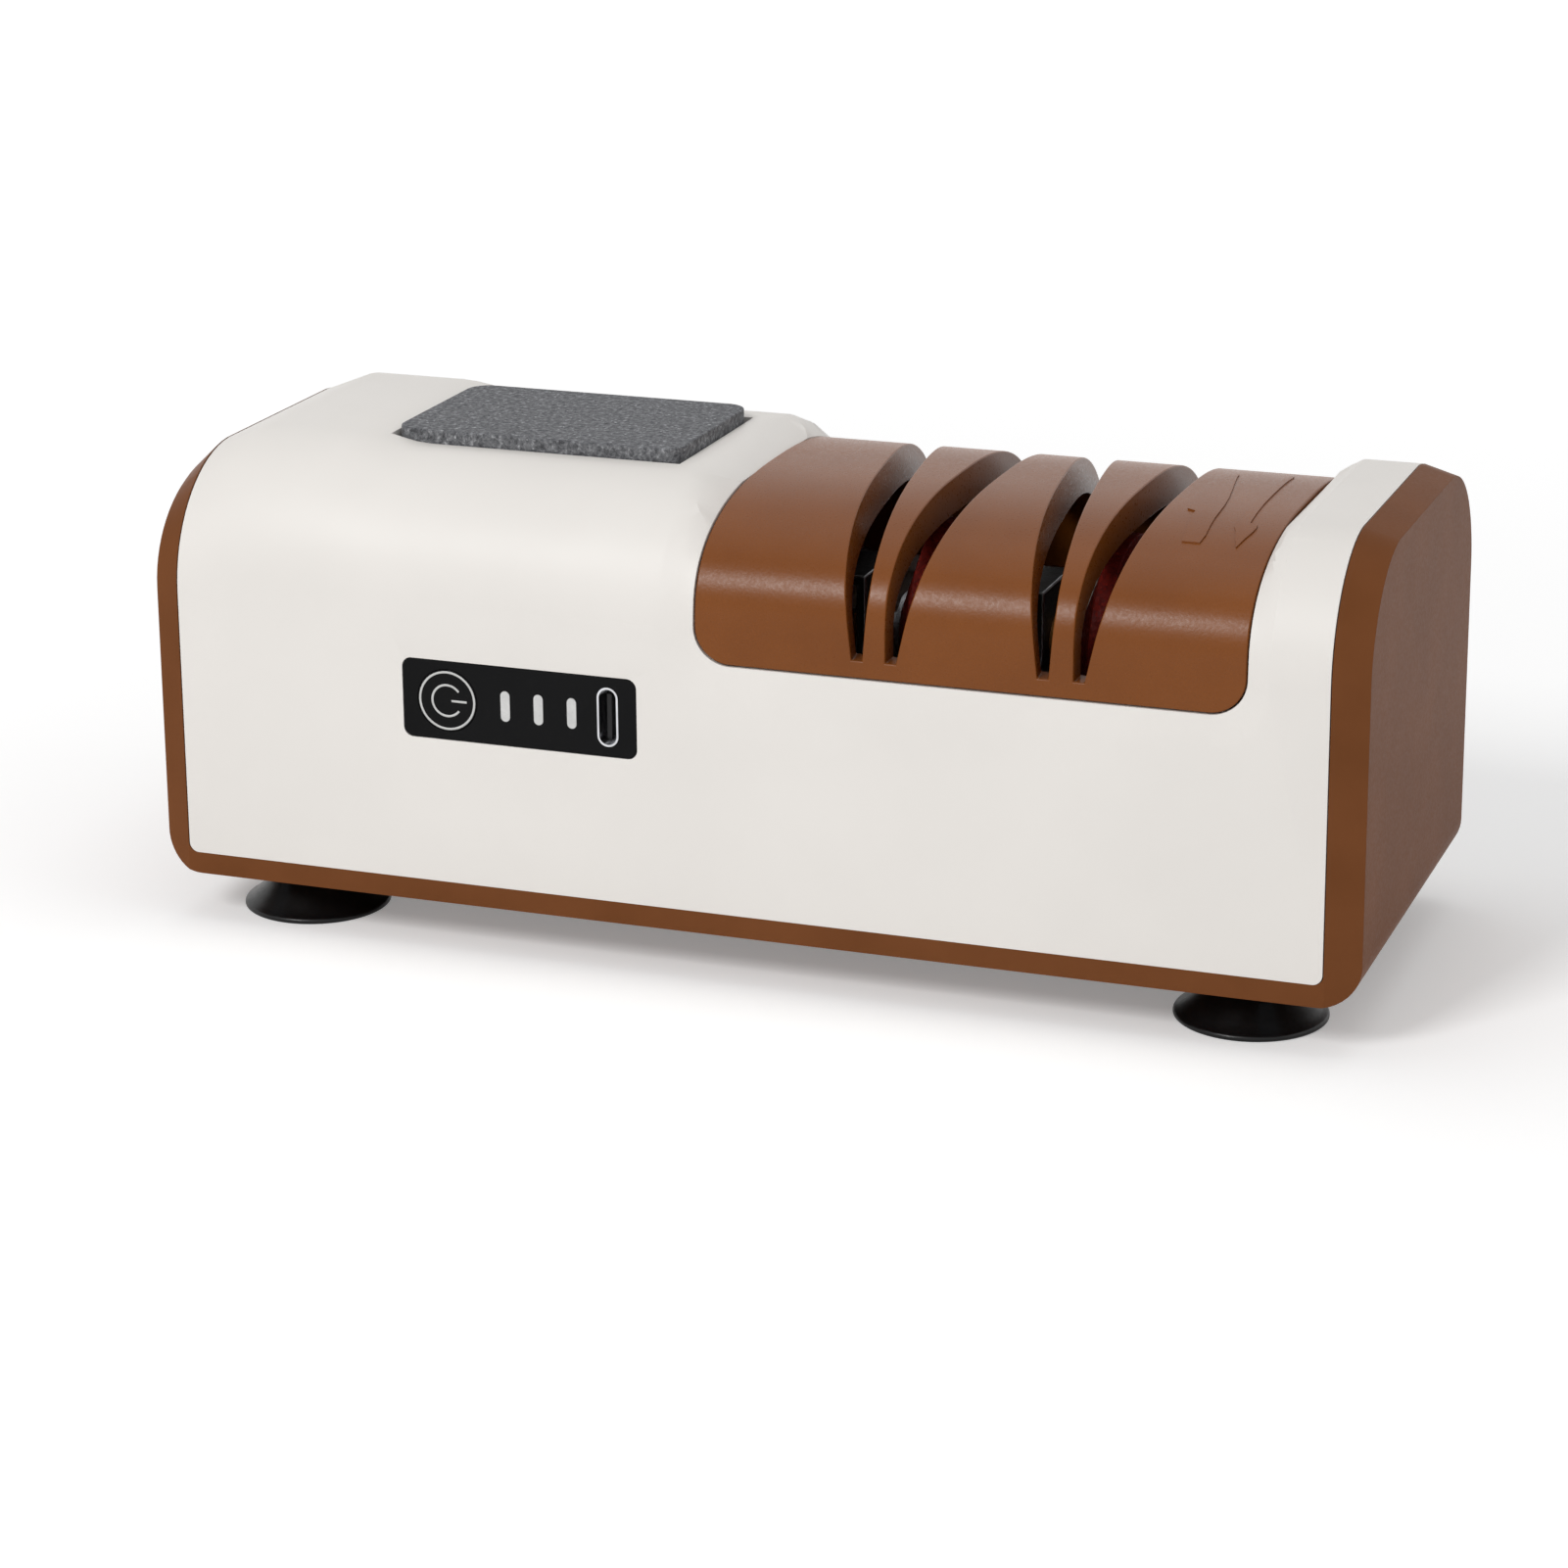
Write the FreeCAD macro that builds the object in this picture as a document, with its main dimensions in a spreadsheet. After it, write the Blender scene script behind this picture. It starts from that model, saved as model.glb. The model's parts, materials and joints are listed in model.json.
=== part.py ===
import FreeCAD, Part
import Sketcher
import math
import os

# Electric knife sharpener. X runs along the body, the control panel faces -Y, Z is up.
# Heights in the table are measured from the underside of the base frame. Every finished
# piece is then raised by the height of the feet, so that the feet stand on Z = 0.

doc = FreeCAD.newDocument("KnifeSharpener")
sizes = doc.addObject("Spreadsheet::Sheet", "Sizes")

table = [
    ("length", 184.0, "overall length"),
    ("depth", 70.6, "overall depth of base and casing"),
    ("foot_height", 7.5, "height of the suction feet"),
    ("left_rim", 4.0, "length of the left end cap"),
    ("right_cap", 5.1, "length of the right end cap"),
    ("strip", 3.3, "thickness of the base strip"),
    ("base_round", 6.0, "rounding of the lower corners seen from the front"),
    ("cap_inset", 1.4, "how far the outer faces of the caps draw in"),
    ("reveal", 0.15, "dark gap between casing and end caps"),
    ("wall", 2.2, "wall thickness of the casing"),
    ("crown_top", 66.3, "top of the raised left section"),
    ("crown_flat", 17.3, "half width of its flat"),
    ("crown_shoulder", 47.0, "height where its front starts to curve"),
    ("top", 64.6, "top of the rest of the casing"),
    ("flat", 18.2, "half width of that flat"),
    ("shoulder", 46.0, "height where the front starts to curve"),
    ("end_top", 63.4, "top of the left end of the casing"),
    ("end_flat", 17.0, "half width of the flat there"),
    ("end_shoulder", 44.0, "height where the curve starts there"),
    ("slope_run", 7.5, "length of the slope at the left end"),
    ("step_from", 26.0, "left end to the start of the soft step"),
    ("step_run", 11.0, "length of the soft step"),
    ("guide_from", 86.2, "left end to the slot guide"),
    ("guide_length", 80.6, "length of the slot guide"),
    ("guide_inset", 0.9, "how far the guide front lies behind the casing front"),
    ("guide_top", 62.6, "top of the slot guide"),
    ("guide_flat", 13.7, "half width of its flat"),
    ("guide_bottom", 40.8, "lower edge of the slot guide"),
    ("guide_round", 5.2, "rounding of the lower corners of the guide"),
    ("guide_wall", 3.0, "wall thickness of the slot guide"),
    ("guide_gap", 0.25, "gap round the slot guide"),
    ("band_left", 5.7, "slanted band left of the guide"),
    ("band_right", 3.5, "slanted band right of the guide"),
    ("band_below", 5.0, "slanted band under the guide"),
    ("band_round", 8.5, "rounding of the outer corners of the band"),
    ("slot_one", 110.6, "left end to the foot of the first slot at the front"),
    ("slot_two", 115.6, "the same for the second slot"),
    ("slot_three", 137.9, "the same for the third slot"),
    ("slot_four", 143.1, "the same for the fourth slot"),
    ("slot_foot", 1.6, "width of a slot at its foot"),
    ("slot_bottom", 43.3, "height of the slot feet"),
    ("slot_turn", 7.7, "angle of the left slot of a pair, seen from above"),
    ("lean_steep", 0.22, "lean of the sloped wall of the right slot, per height"),
    ("lean_left", 0.11, "lean of the left wall of the left slot"),
    ("lean_right", 0.08, "lean of the right wall of the left slot"),
    ("axis_height", 38.5, "height of the shaft axis"),
    ("shaft_radius", 2.0, "radius of the wheel shaft"),
    ("running_gap", 0.05, "radial clearance of turning and sliding fits"),
    ("wheel_radius", 18.0, "radius of the grinding wheels"),
    ("wheel_rim", 2.5, "width of the wheel rim"),
    ("wheel_one", 112.95, "left end to the middle of the first rim"),
    ("wheel_two", 140.35, "left end to the middle of the second rim"),
    ("hub_radius", 4.5, "radius of the wheel hubs"),
    ("bracket_one", 101.0, "left end to the first bearing bracket"),
    ("bracket_two", 128.3, "left end to the second bearing bracket"),
    ("bracket_three", 158.0, "left end to the third bearing bracket"),
    ("sheet", 1.5, "thickness of the bracket steel"),
    ("bush_radius", 4.0, "outer radius of the bearing bushes"),
    ("motor_from", 32.0, "left end to the motor can"),
    ("motor_length", 36.0, "length of the motor can"),
    ("motor_radius", 13.85, "radius of the motor can"),
    ("motor_shaft", 1.6, "radius of the motor shaft"),
    ("cell_radius", 9.2, "radius of a battery cell"),
    ("cell_length", 65.0, "length of a battery cell"),
    ("cell_apart", 20.4, "distance of the two cell axes"),
    ("stone_from", 30.8, "left end to the whetstone"),
    ("stone_length", 45.6, "length of the whetstone"),
    ("stone_width", 30.0, "width of the whetstone"),
    ("stone_thick", 4.6, "thickness of the whetstone"),
    ("stone_proud", 2.0, "height of the stone above the casing round it"),
    ("stone_gap", 0.3, "gap between stone and recess"),
    ("pad_thick", 0.6, "thickness of the pad under the stone"),
    ("panel_from", 40.6, "left end to the control panel"),
    ("panel_length", 36.7, "length of the control panel"),
    ("panel_low", 25.5, "height of the lower edge of the control panel"),
    ("panel_high", 11.9, "height of the control panel"),
    ("panel_thick", 1.2, "thickness of the control panel"),
    ("panel_round", 1.4, "corner rounding of the control panel"),
    ("panel_lip", 0.6, "ledge that carries the control panel"),
    ("button_from", 47.6, "left end to the middle of the power button"),
    ("button_radius", 4.7, "radius of the power button"),
    ("button_gap", 0.08, "radial clearance of the power button"),
    ("press", 0.5, "travel of the power button"),
    ("light_from", 56.8, "left end to the first light window"),
    ("light_step", 5.23, "distance of the light windows"),
    ("light_wide", 1.45, "width of a light window"),
    ("light_high", 4.6, "height of a light window"),
    ("port_from", 72.9, "left end to the middle of the charging port"),
    ("port_high", 8.94, "height of the port shell"),
    ("port_wide", 3.26, "width of the port shell"),
    ("port_sheet", 0.3, "thickness of the port shell"),
    ("board_back", 5.8, "casing front to the front of the circuit board"),
    ("foot_x", 18.5, "end of the body to a foot axis"),
    ("foot_y", 13.7, "casing front to a foot axis"),
    ("foot_radius", 11.15, "rim radius of a foot"),
    ("screw_x", 12.0, "end of the body to a cover screw"),
    ("screw_y", 5.3, "casing front to a cover screw"),
]
for row, (alias, value, note) in enumerate(table, start=1):
    sizes.set("A%d" % row, note)
    sizes.set("B%d" % row, str(value))
    sizes.setAlias("B%d" % row, alias)
doc.recompute()

finished = []
words = {alias: "Sizes." + alias for alias, value, note in table}


def say(text):
    # Turns a formula of table words into one that the model can bind.
    out = ""
    word = ""
    for letter in text + " ":
        if letter.isalpha() or letter == "_":
            word += letter
        else:
            out += words.get(word, word)
            word = ""
            out += letter
    return out.strip()


def number(text):
    return float(sizes.evalExpression(say(text)))


def bind(item, prop, text):
    item.setExpression(prop, say(text))


def finish(item, label):
    # Names a finished piece and raises it by the height of the feet.
    item.Label = label
    bind(item, "Placement.Base.z", "foot_height")
    finished.append(item)


def place(item, x, y, z):
    bind(item, "Placement.Base.x", x)
    bind(item, "Placement.Base.y", y)
    bind(item, "Placement.Base.z", z)


def new_body(name):
    return doc.addObject("PartDesign::Body", name)


def new_sketch(body, name, plane, offset="0"):
    item = body.newObject("Sketcher::SketchObject", name)
    for feature in body.Origin.OriginFeatures:
        if feature.Role == plane:
            item.AttachmentSupport = [(feature, "")]
    item.MapMode = "FlatFace"
    bind(item, ".AttachmentOffset.Base.z", offset)
    return item


def pin(item, geometry, corner, x, y):
    # Ties one corner of the sketch to two formulas.
    for kind, text in (("DistanceX", x), ("DistanceY", y)):
        value = number(text)
        index = item.addConstraint(Sketcher.Constraint(kind, -1, 1, geometry, corner, value))
        bind(item, "Constraints[%d]" % index, text)


def outline(item, points, arcs=None):
    # Draws a closed outline. Stretch number i runs from point i to the next one. An arc
    # is given by its centre and by the straight stretch, before or after, that it touches,
    # or is free of both.
    arcs = arcs or {}
    count = len(points)
    spots = [FreeCAD.Vector(number(x), number(y), 0) for x, y in points]
    ends = []
    for i in range(count):
        a = spots[i]
        b = spots[(i + 1) % count]
        if i in arcs:
            side, cx, cy = arcs[i]
            c = FreeCAD.Vector(number(cx), number(cy), 0)
            turn = (a - c).cross(b - c).z
            first, last = (a, b) if turn > -0.001 else (b, a)
            start = math.atan2(first.y - c.y, first.x - c.x)
            stop = math.atan2(last.y - c.y, last.x - c.x)
            circle = Part.Circle(c, FreeCAD.Vector(0, 0, 1), (a - c).Length)
            item.addGeometry(Part.ArcOfCircle(circle, start, stop), False)
            ends.append((1, 2) if turn > -0.001 else (2, 1))
        else:
            item.addGeometry(Part.LineSegment(a, b), False)
            ends.append((1, 2))
    for i in range(count):
        j = (i + 1) % count
        touch_after = i in arcs and arcs[i][0] == "after"
        touch_before = j in arcs and arcs[j][0] == "before"
        kind = "Tangent" if touch_after or touch_before else "Coincident"
        item.addConstraint(Sketcher.Constraint(kind, i, ends[i][1], j, ends[j][0]))
    for i in arcs:
        if arcs[i][0] == "free":
            reach = item.addConstraint(Sketcher.Constraint("DistanceX", -1, 1, i, 3,
                                                           number(arcs[i][1])))
            bind(item, "Constraints[%d]" % reach, arcs[i][1])
    for i in range(count):
        if i not in arcs:
            pin(item, i, ends[i][0], *points[i])
            if (i + 1) % count in arcs:
                pin(item, i, ends[i][1], *points[(i + 1) % count])


def ring(item, x, y, radius):
    # Draws one circle.
    centre = FreeCAD.Vector(number(x), number(y), 0)
    circle = Part.Circle(centre, FreeCAD.Vector(0, 0, 1), number(radius))
    index = item.addGeometry(circle, False)
    pin(item, index, 3, x, y)
    rim = item.addConstraint(Sketcher.Constraint("Radius", index, number(radius)))
    bind(item, "Constraints[%d]" % rim, radius)


def pad(body, profile, height, both=False):
    item = body.newObject("PartDesign::Pad", profile.Name + "Pad")
    item.Profile = profile
    bind(item, "Length", height)
    item.Midplane = both
    return item


def pocket(body, profile, height="200", both=False, turned=False):
    item = body.newObject("PartDesign::Pocket", profile.Name + "Cut")
    item.Profile = profile
    bind(item, "Length", height)
    item.Midplane = both
    item.Reversed = turned
    return item


def revolve(body, profile, axis):
    item = body.newObject("PartDesign::Revolution", profile.Name + "Turn")
    item.Profile = profile
    item.ReferenceAxis = (profile, [axis])
    item.Angle = 360
    return item


def box(name, corner, size):
    item = doc.addObject("Part::Box", name)
    for prop, text in zip(("Length", "Width", "Height"), size):
        bind(item, prop, text)
    place(item, *corner)
    return item


def rod(name, axis, start, radius, length):
    item = doc.addObject("Part::Cylinder", name)
    bind(item, "Radius", radius)
    bind(item, "Height", length)
    turns = {"x": ((0, 1, 0), 90), "y": ((1, 0, 0), -90), "z": ((0, 0, 1), 0)}
    direction, angle = turns[axis]
    item.Placement.Rotation = FreeCAD.Rotation(FreeCAD.Vector(*direction), angle)
    place(item, *start)
    return item


def fuse(name, pieces):
    item = doc.addObject("Part::MultiFuse", name)
    item.Shapes = pieces
    return item


def cut(name, base, tools):
    item = doc.addObject("Part::Cut", name)
    item.Base = base
    item.Tool = tools[0] if len(tools) == 1 else fuse(name + "Tools", tools)
    return item


# Cross sections. All run front to back and have a straight front, a curve that starts
# at the shoulder and a flat top.
left = "-length / 2"


def arc_of(half, flat_half, high, start):
    # Radius of the curve that leaves the upright front and meets the flat.
    run = "(%s - (%s))" % (half, flat_half)
    rise = "(%s - (%s))" % (high, start)
    return "((%s * %s + %s * %s) / (2 * %s))" % (run, run, rise, rise, run)


def drawn_in(shape, inset):
    # The same cross section, drawn in by an even distance.
    half, flat_half, high, start = shape
    radius = arc_of(*shape)
    rise = "(%s - %s - (%s))" % (high, inset, start)
    reach = "sqrt((%s - %s) * (%s - %s) - %s * %s)" % (radius, inset, radius, inset, rise, rise)
    return ("(%s - %s)" % (half, inset), "(%s - %s + %s)" % (half, radius, reach),
            "(%s - %s)" % (high, inset), start)


def section(body, name, x, shape, low):
    half, flat_half, high, start = shape
    item = new_sketch(body, name, "YZ_Plane", x)
    radius = arc_of(*shape)
    points = [("-%s" % half, low), (half, low), (half, start), (flat_half, high),
              ("-%s" % flat_half, high), ("-%s" % half, start)]
    arcs = {2: ("before", "%s - %s" % (half, radius), start),
            4: ("after", "%s - %s" % (radius, half), start)}
    outline(item, points, arcs)
    return item


def loft(body, sections, kind="PartDesign::AdditiveLoft"):
    item = body.newObject(kind, sections[0].Name + "Loft")
    item.Profile = sections[0]
    item.Sections = sections[1:]
    item.Ruled = True
    return item


half = "(depth / 2)"
main_shape = (half, "flat", "top", "shoulder")
crown_shape = (half, "crown_flat", "crown_top", "crown_shoulder")
end_shape = (half, "end_flat", "end_top", "end_shoulder")
guide_shape = ("(depth / 2 - guide_inset)", "guide_flat", "guide_top", "shoulder")
casing_left = "(%s + left_rim)" % left
casing_right = "(length / 2 - right_cap)"

# Base frame: one moulded U of base strip and two end caps.
frame = new_body("BaseFrame")
loft(frame, [
    section(frame, "FrameLeftOut", left, drawn_in(end_shape, "cap_inset"), "0"),
    section(frame, "FrameLeftIn", casing_left + " - 0.1", end_shape, "0"),
    section(frame, "FrameRightIn", casing_right + " + 0.1", main_shape, "0"),
    section(frame, "FrameRightOut", "length / 2", drawn_in(main_shape, "cap_inset"), "0"),
])
inside = new_sketch(frame, "FrameInside", "XZ_Plane")
outline(inside,
        [("%s + 1.5" % casing_left, "strip"), ("%s - 1.5" % casing_right, "strip"),
         (casing_right, "strip + 1.5"), (casing_right, "crown_top + 20"),
         (casing_left, "crown_top + 20"), (casing_left, "strip + 1.5")],
        {1: ("before", "%s - 1.5" % casing_right, "strip + 1.5"),
         5: ("before", "%s + 1.5" % casing_left, "strip + 1.5")})
pocket(frame, inside, "depth * 2", both=True)
for name, side in (("FrameRoundLeft", -1), ("FrameRoundRight", 1)):
    corner = new_sketch(frame, name, "XZ_Plane")
    edge = "%d * (length / 2 + 1)" % side
    centre = "%d * (length / 2 - base_round)" % side
    outline(corner,
            [(centre, "0"), (centre, "-1"), (edge, "-1"), (edge, "base_round"),
             ("%d * length / 2" % side, "base_round")],
            {4: ("free", centre, "base_round")})
    pocket(frame, corner, "depth * 2", both=True)
holes = new_sketch(frame, "FrameHoles", "XY_Plane")
sinks = new_sketch(frame, "FrameSinks", "XY_Plane")
for sx in (-1, 1):
    for sy in (-1, 1):
        ring(holes, "%d * (length / 2 - foot_x)" % sx, "%d * (depth / 2 - foot_y)" % sy, "1.6")
        ring(holes, "%d * (length / 2 - screw_x)" % sx, "%d * (depth / 2 - screw_y)" % sy, "1.6")
        ring(sinks, "%d * (length / 2 - screw_x)" % sx, "%d * (depth / 2 - screw_y)" % sy, "3.1")
pocket(frame, holes, "strip + 1", turned=True)
pocket(frame, sinks, "1.6", turned=True)
finish(frame, "base_frame")

# Casing shell: moulded cover with the stone seat and the recess round the slot guide.
shell = new_body("CasingShell")
parts = [section(shell, "ShellEnd", "%s + reveal" % casing_left, end_shape, "strip"),
         section(shell, "ShellSlope", "%s + slope_run" % casing_left, crown_shape, "strip")]
for step, share in enumerate((0.0, 0.1, 0.35, 0.65, 0.9, 1.0)):
    blend = tuple("(%s + (%s - %s) * %s)" % (a, b, a, share)
                  for a, b in zip(crown_shape, main_shape))
    x = "%s + step_from + step_run * %s" % (left, step / 5.0)
    parts.append(section(shell, "ShellStep%s" % "ABCDEF"[step], x, blend, "strip"))
guide_left = "(%s + guide_from)" % left
guide_right = "(%s + guide_from + guide_length)" % left
parts.append(section(shell, "BandLeftOut", guide_left + " - band_left", main_shape, "strip"))
parts.append(section(shell, "BandLeftIn", guide_left, guide_shape, "strip"))
parts.append(section(shell, "BandRightIn", guide_right, guide_shape, "strip"))
parts.append(section(shell, "BandRightOut", guide_right + " + band_right", main_shape, "strip"))
parts.append(section(shell, "ShellRight", casing_right + " - reveal", main_shape, "strip"))
loft(shell, parts)


def apron(name, depth_text, x_low, x_high, low, round_text):
    # Front of the casing under and beside the guide, with the rounded corners of the band.
    item = new_sketch(shell, name, "XZ_Plane", depth_text)
    out_low = guide_left + " - band_left - 8"
    out_high = guide_right + " + band_right + 4"
    outline(item,
            [(out_low, "strip"), (out_high, "strip"), (out_high, "shoulder"),
             (x_high, "shoulder"), (x_high, "%s + %s" % (low, round_text)),
             ("%s - %s" % (x_high, round_text), low), ("%s + %s" % (x_low, round_text), low),
             (x_low, "%s + %s" % (low, round_text)), (x_low, "shoulder"),
             (out_low, "shoulder")],
            {4: ("before", "%s - %s" % (x_high, round_text), "%s + %s" % (low, round_text)),
             6: ("before", "%s + %s" % (x_low, round_text), "%s + %s" % (low, round_text))})
    return item


for name, side in (("Front", 1), ("Back", -1)):
    outer = apron("ApronOut" + name, "%d * depth / 2" % side, guide_left + " - band_left",
                  guide_right + " + band_right", "(guide_bottom - band_below)", "band_round")
    inner = apron("ApronIn" + name, "%d * (depth / 2 - guide_inset)" % side, guide_left,
                  guide_right, "guide_bottom", "(guide_round - 0.3)")
    loft(shell, [outer, inner])

# The hollow of the casing, open below.
inner_main = drawn_in(main_shape, "wall")
inner_guide = drawn_in(guide_shape, "wall")
loft(shell, [
    section(shell, "HollowLeft", "%s + reveal + wall" % casing_left, inner_main, "-1"),
    section(shell, "HollowBand", guide_left + " - band_left - 2", inner_main, "-1"),
    section(shell, "HollowGuideLeft", guide_left, inner_guide, "-1"),
    section(shell, "HollowGuideRight", guide_right, inner_guide, "-1"),
    section(shell, "HollowRightBand", guide_right + " + band_right", inner_main, "-1"),
    section(shell, "HollowRight", "%s - reveal - wall" % casing_right, inner_main, "-1"),
], "PartDesign::SubtractiveLoft")

# The opening that the slot guide drops into.
gap_round = "(guide_round + guide_gap)"
gap_left = "(%s - guide_gap)" % guide_left
gap_right = "(%s + guide_gap)" % guide_right
gap_low = "(guide_bottom - guide_gap)"
opening = new_sketch(shell, "GuideOpening", "XZ_Plane")
outline(opening,
        [("%s + %s" % (gap_left, gap_round), gap_low), ("%s - %s" % (gap_right, gap_round), gap_low),
         (gap_right, "%s + %s" % (gap_low, gap_round)), (gap_right, "crown_top + 20"),
         (gap_left, "crown_top + 20"), (gap_left, "%s + %s" % (gap_low, gap_round))],
        {1: ("before", "%s - %s" % (gap_right, gap_round), "%s + %s" % (gap_low, gap_round)),
         5: ("before", "%s + %s" % (gap_left, gap_round), "%s + %s" % (gap_low, gap_round))})
pocket(shell, opening, "depth * 2", both=True)


def block(body, name, plane, level, x_low, x_high, y_low, y_high, height, turned=False):
    # A straight block that grows from a sketch plane.
    item = new_sketch(body, name, plane, level)
    outline(item, [(x_low, y_low), (x_high, y_low), (x_high, y_high), (x_low, y_high)])
    made = pad(body, item, height)
    made.Reversed = turned
    return made


# Ledges that carry the guide, the stone seat and the bosses.
for name, side in (("LedgeFront", -1), ("LedgeBack", 1)):
    near = "%d * (depth / 2 - guide_inset - 1)" % side
    far = "%d * (depth / 2 - guide_inset - guide_wall - 0.5)" % side
    y_low, y_high = (near, far) if side < 0 else (far, near)
    block(shell, name, "XY_Plane", "guide_bottom - 2.8", guide_left + " + guide_round + 0.5",
          guide_right + " - guide_round - 0.5", y_low, y_high, "2.8")
seat_floor = "(top + stone_proud - stone_thick - pad_thick)"
seat_left = "(%s + stone_from - stone_gap)" % left
seat_right = "(%s + stone_from + stone_length + stone_gap)" % left
block(shell, "StoneSeat", "XY_Plane", seat_floor + " - 1.8", seat_left + " - 1.6",
      seat_right + " + 1.6", "-(stone_width / 2 + 2)", "stone_width / 2 + 2", "3.4")
bosses = new_sketch(shell, "CoverBosses", "XY_Plane", "strip")
for sx in (-1, 1):
    for sy in (-1, 1):
        ring(bosses, "%d * (length / 2 - screw_x)" % sx, "%d * (depth / 2 - screw_y)" % sy, "3.6")
pad(shell, bosses, "14")
screw_holes = new_sketch(shell, "CoverScrewHoles", "XY_Plane", "strip")
for sx in (-1, 1):
    for sy in (-1, 1):
        ring(screw_holes, "%d * (length / 2 - screw_x)" % sx,
             "%d * (depth / 2 - screw_y)" % sy, "1.5")
pocket(shell, screw_holes, "12", turned=True)
board_bosses = new_sketch(shell, "BoardBosses", "XZ_Plane", "depth / 2 - board_back")
board_left = "(%s + panel_from - 3.5)" % left
board_right = "(%s + panel_from + panel_length + 3.5)" % left
board_low = "(panel_low - 4)"
board_high = "(panel_low + panel_high + 4)"
for x in (board_left + " + 2", board_right + " - 2"):
    for y in (board_low + " + 2", board_high + " - 2"):
        ring(board_bosses, x, y, "1.8")
pad(shell, board_bosses, "board_back - wall / 2")

# Cuts: seat of the stone, seat and window of the control panel.
seat = new_sketch(shell, "StoneRecess", "XY_Plane", seat_floor)
outline(seat, [(seat_left, "-(stone_width / 2 + stone_gap)"),
               (seat_right, "-(stone_width / 2 + stone_gap)"),
               (seat_right, "stone_width / 2 + stone_gap"),
               (seat_left, "stone_width / 2 + stone_gap")])
pocket(shell, seat, "20", turned=True)


def rounded(item, x_low, x_high, y_low, y_high, radius):
    # A rectangle with four rounded corners.
    outline(item,
            [("%s + %s" % (x_low, radius), y_low), ("%s - %s" % (x_high, radius), y_low),
             (x_high, "%s + %s" % (y_low, radius)), (x_high, "%s - %s" % (y_high, radius)),
             ("%s - %s" % (x_high, radius), y_high), ("%s + %s" % (x_low, radius), y_high),
             (x_low, "%s - %s" % (y_high, radius)), (x_low, "%s + %s" % (y_low, radius))],
            {1: ("before", "%s - %s" % (x_high, radius), "%s + %s" % (y_low, radius)),
             3: ("before", "%s - %s" % (x_high, radius), "%s - %s" % (y_high, radius)),
             5: ("before", "%s + %s" % (x_low, radius), "%s - %s" % (y_high, radius)),
             7: ("before", "%s + %s" % (x_low, radius), "%s + %s" % (y_low, radius))})


panel_left = "(%s + panel_from)" % left
panel_right = "(%s + panel_from + panel_length)" % left
panel_top = "(panel_low + panel_high)"
front = "(depth / 2)"
seat = new_sketch(shell, "PanelSeat", "XZ_Plane", front)
rounded(seat, "(%s - 0.1)" % panel_left, "(%s + 0.1)" % panel_right, "(panel_low - 0.1)",
        "(%s + 0.1)" % panel_top, "(panel_round + 0.1)")
pocket(shell, seat, "panel_thick")
window = new_sketch(shell, "PanelWindow", "XZ_Plane", front)
rounded(window, "(%s + panel_lip)" % panel_left, "(%s - panel_lip)" % panel_right,
        "(panel_low + panel_lip)", "(%s - panel_lip)" % panel_top, "(panel_round - 0.5)")
pocket(shell, window, "wall + 0.5")
for name, side in (("ShellRoundLeft", -1), ("ShellRoundRight", 1)):
    corner = new_sketch(shell, name, "XZ_Plane")
    end = casing_left + " + reveal" if side < 0 else casing_right + " - reveal"
    centre = "%s - (%d) * 1.5" % (end, side)
    outline(corner,
            [(centre, "strip"), (centre, "strip - 1"), ("%s + %d" % (end, side), "strip - 1"),
             ("%s + %d" % (end, side), "strip + 1.5"), (end, "strip + 1.5")],
            {4: ("free", centre, "strip + 1.5")})
    pocket(shell, corner, "depth * 2", both=True)
finish(shell, "casing_shell")

# Slot guide: one arched shell, cut by four knife slots into two ends, a middle and two ribs.
arch = new_body("GuideArch")
loft(arch, [section(arch, "ArchLeft", guide_left, guide_shape, "guide_bottom"),
            section(arch, "ArchRight", guide_right, guide_shape, "guide_bottom")])
hollow_shape = drawn_in(guide_shape, "guide_wall")
loft(arch, [section(arch, "ArchInLeft", guide_left + " + guide_wall", hollow_shape,
                    "guide_bottom - 1"),
            section(arch, "ArchInRight", guide_right + " - guide_wall", hollow_shape,
                    "guide_bottom - 1")], "PartDesign::SubtractiveLoft")
for name, side in (("ArchRoundLeft", -1), ("ArchRoundRight", 1)):
    corner = new_sketch(arch, name, "XZ_Plane")
    end = guide_left if side < 0 else guide_right
    centre = "%s - (%d) * guide_round" % (end, side)
    outline(corner,
            [(centre, "guide_bottom"), (centre, "guide_bottom - 2"),
             ("%s + %d" % (end, side), "guide_bottom - 2"),
             ("%s + %d" % (end, side), "guide_bottom + guide_round"),
             (end, "guide_bottom + guide_round")],
            {4: ("free", centre, "guide_bottom + guide_round")})
    pocket(arch, corner, "depth * 2", both=True)

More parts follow.
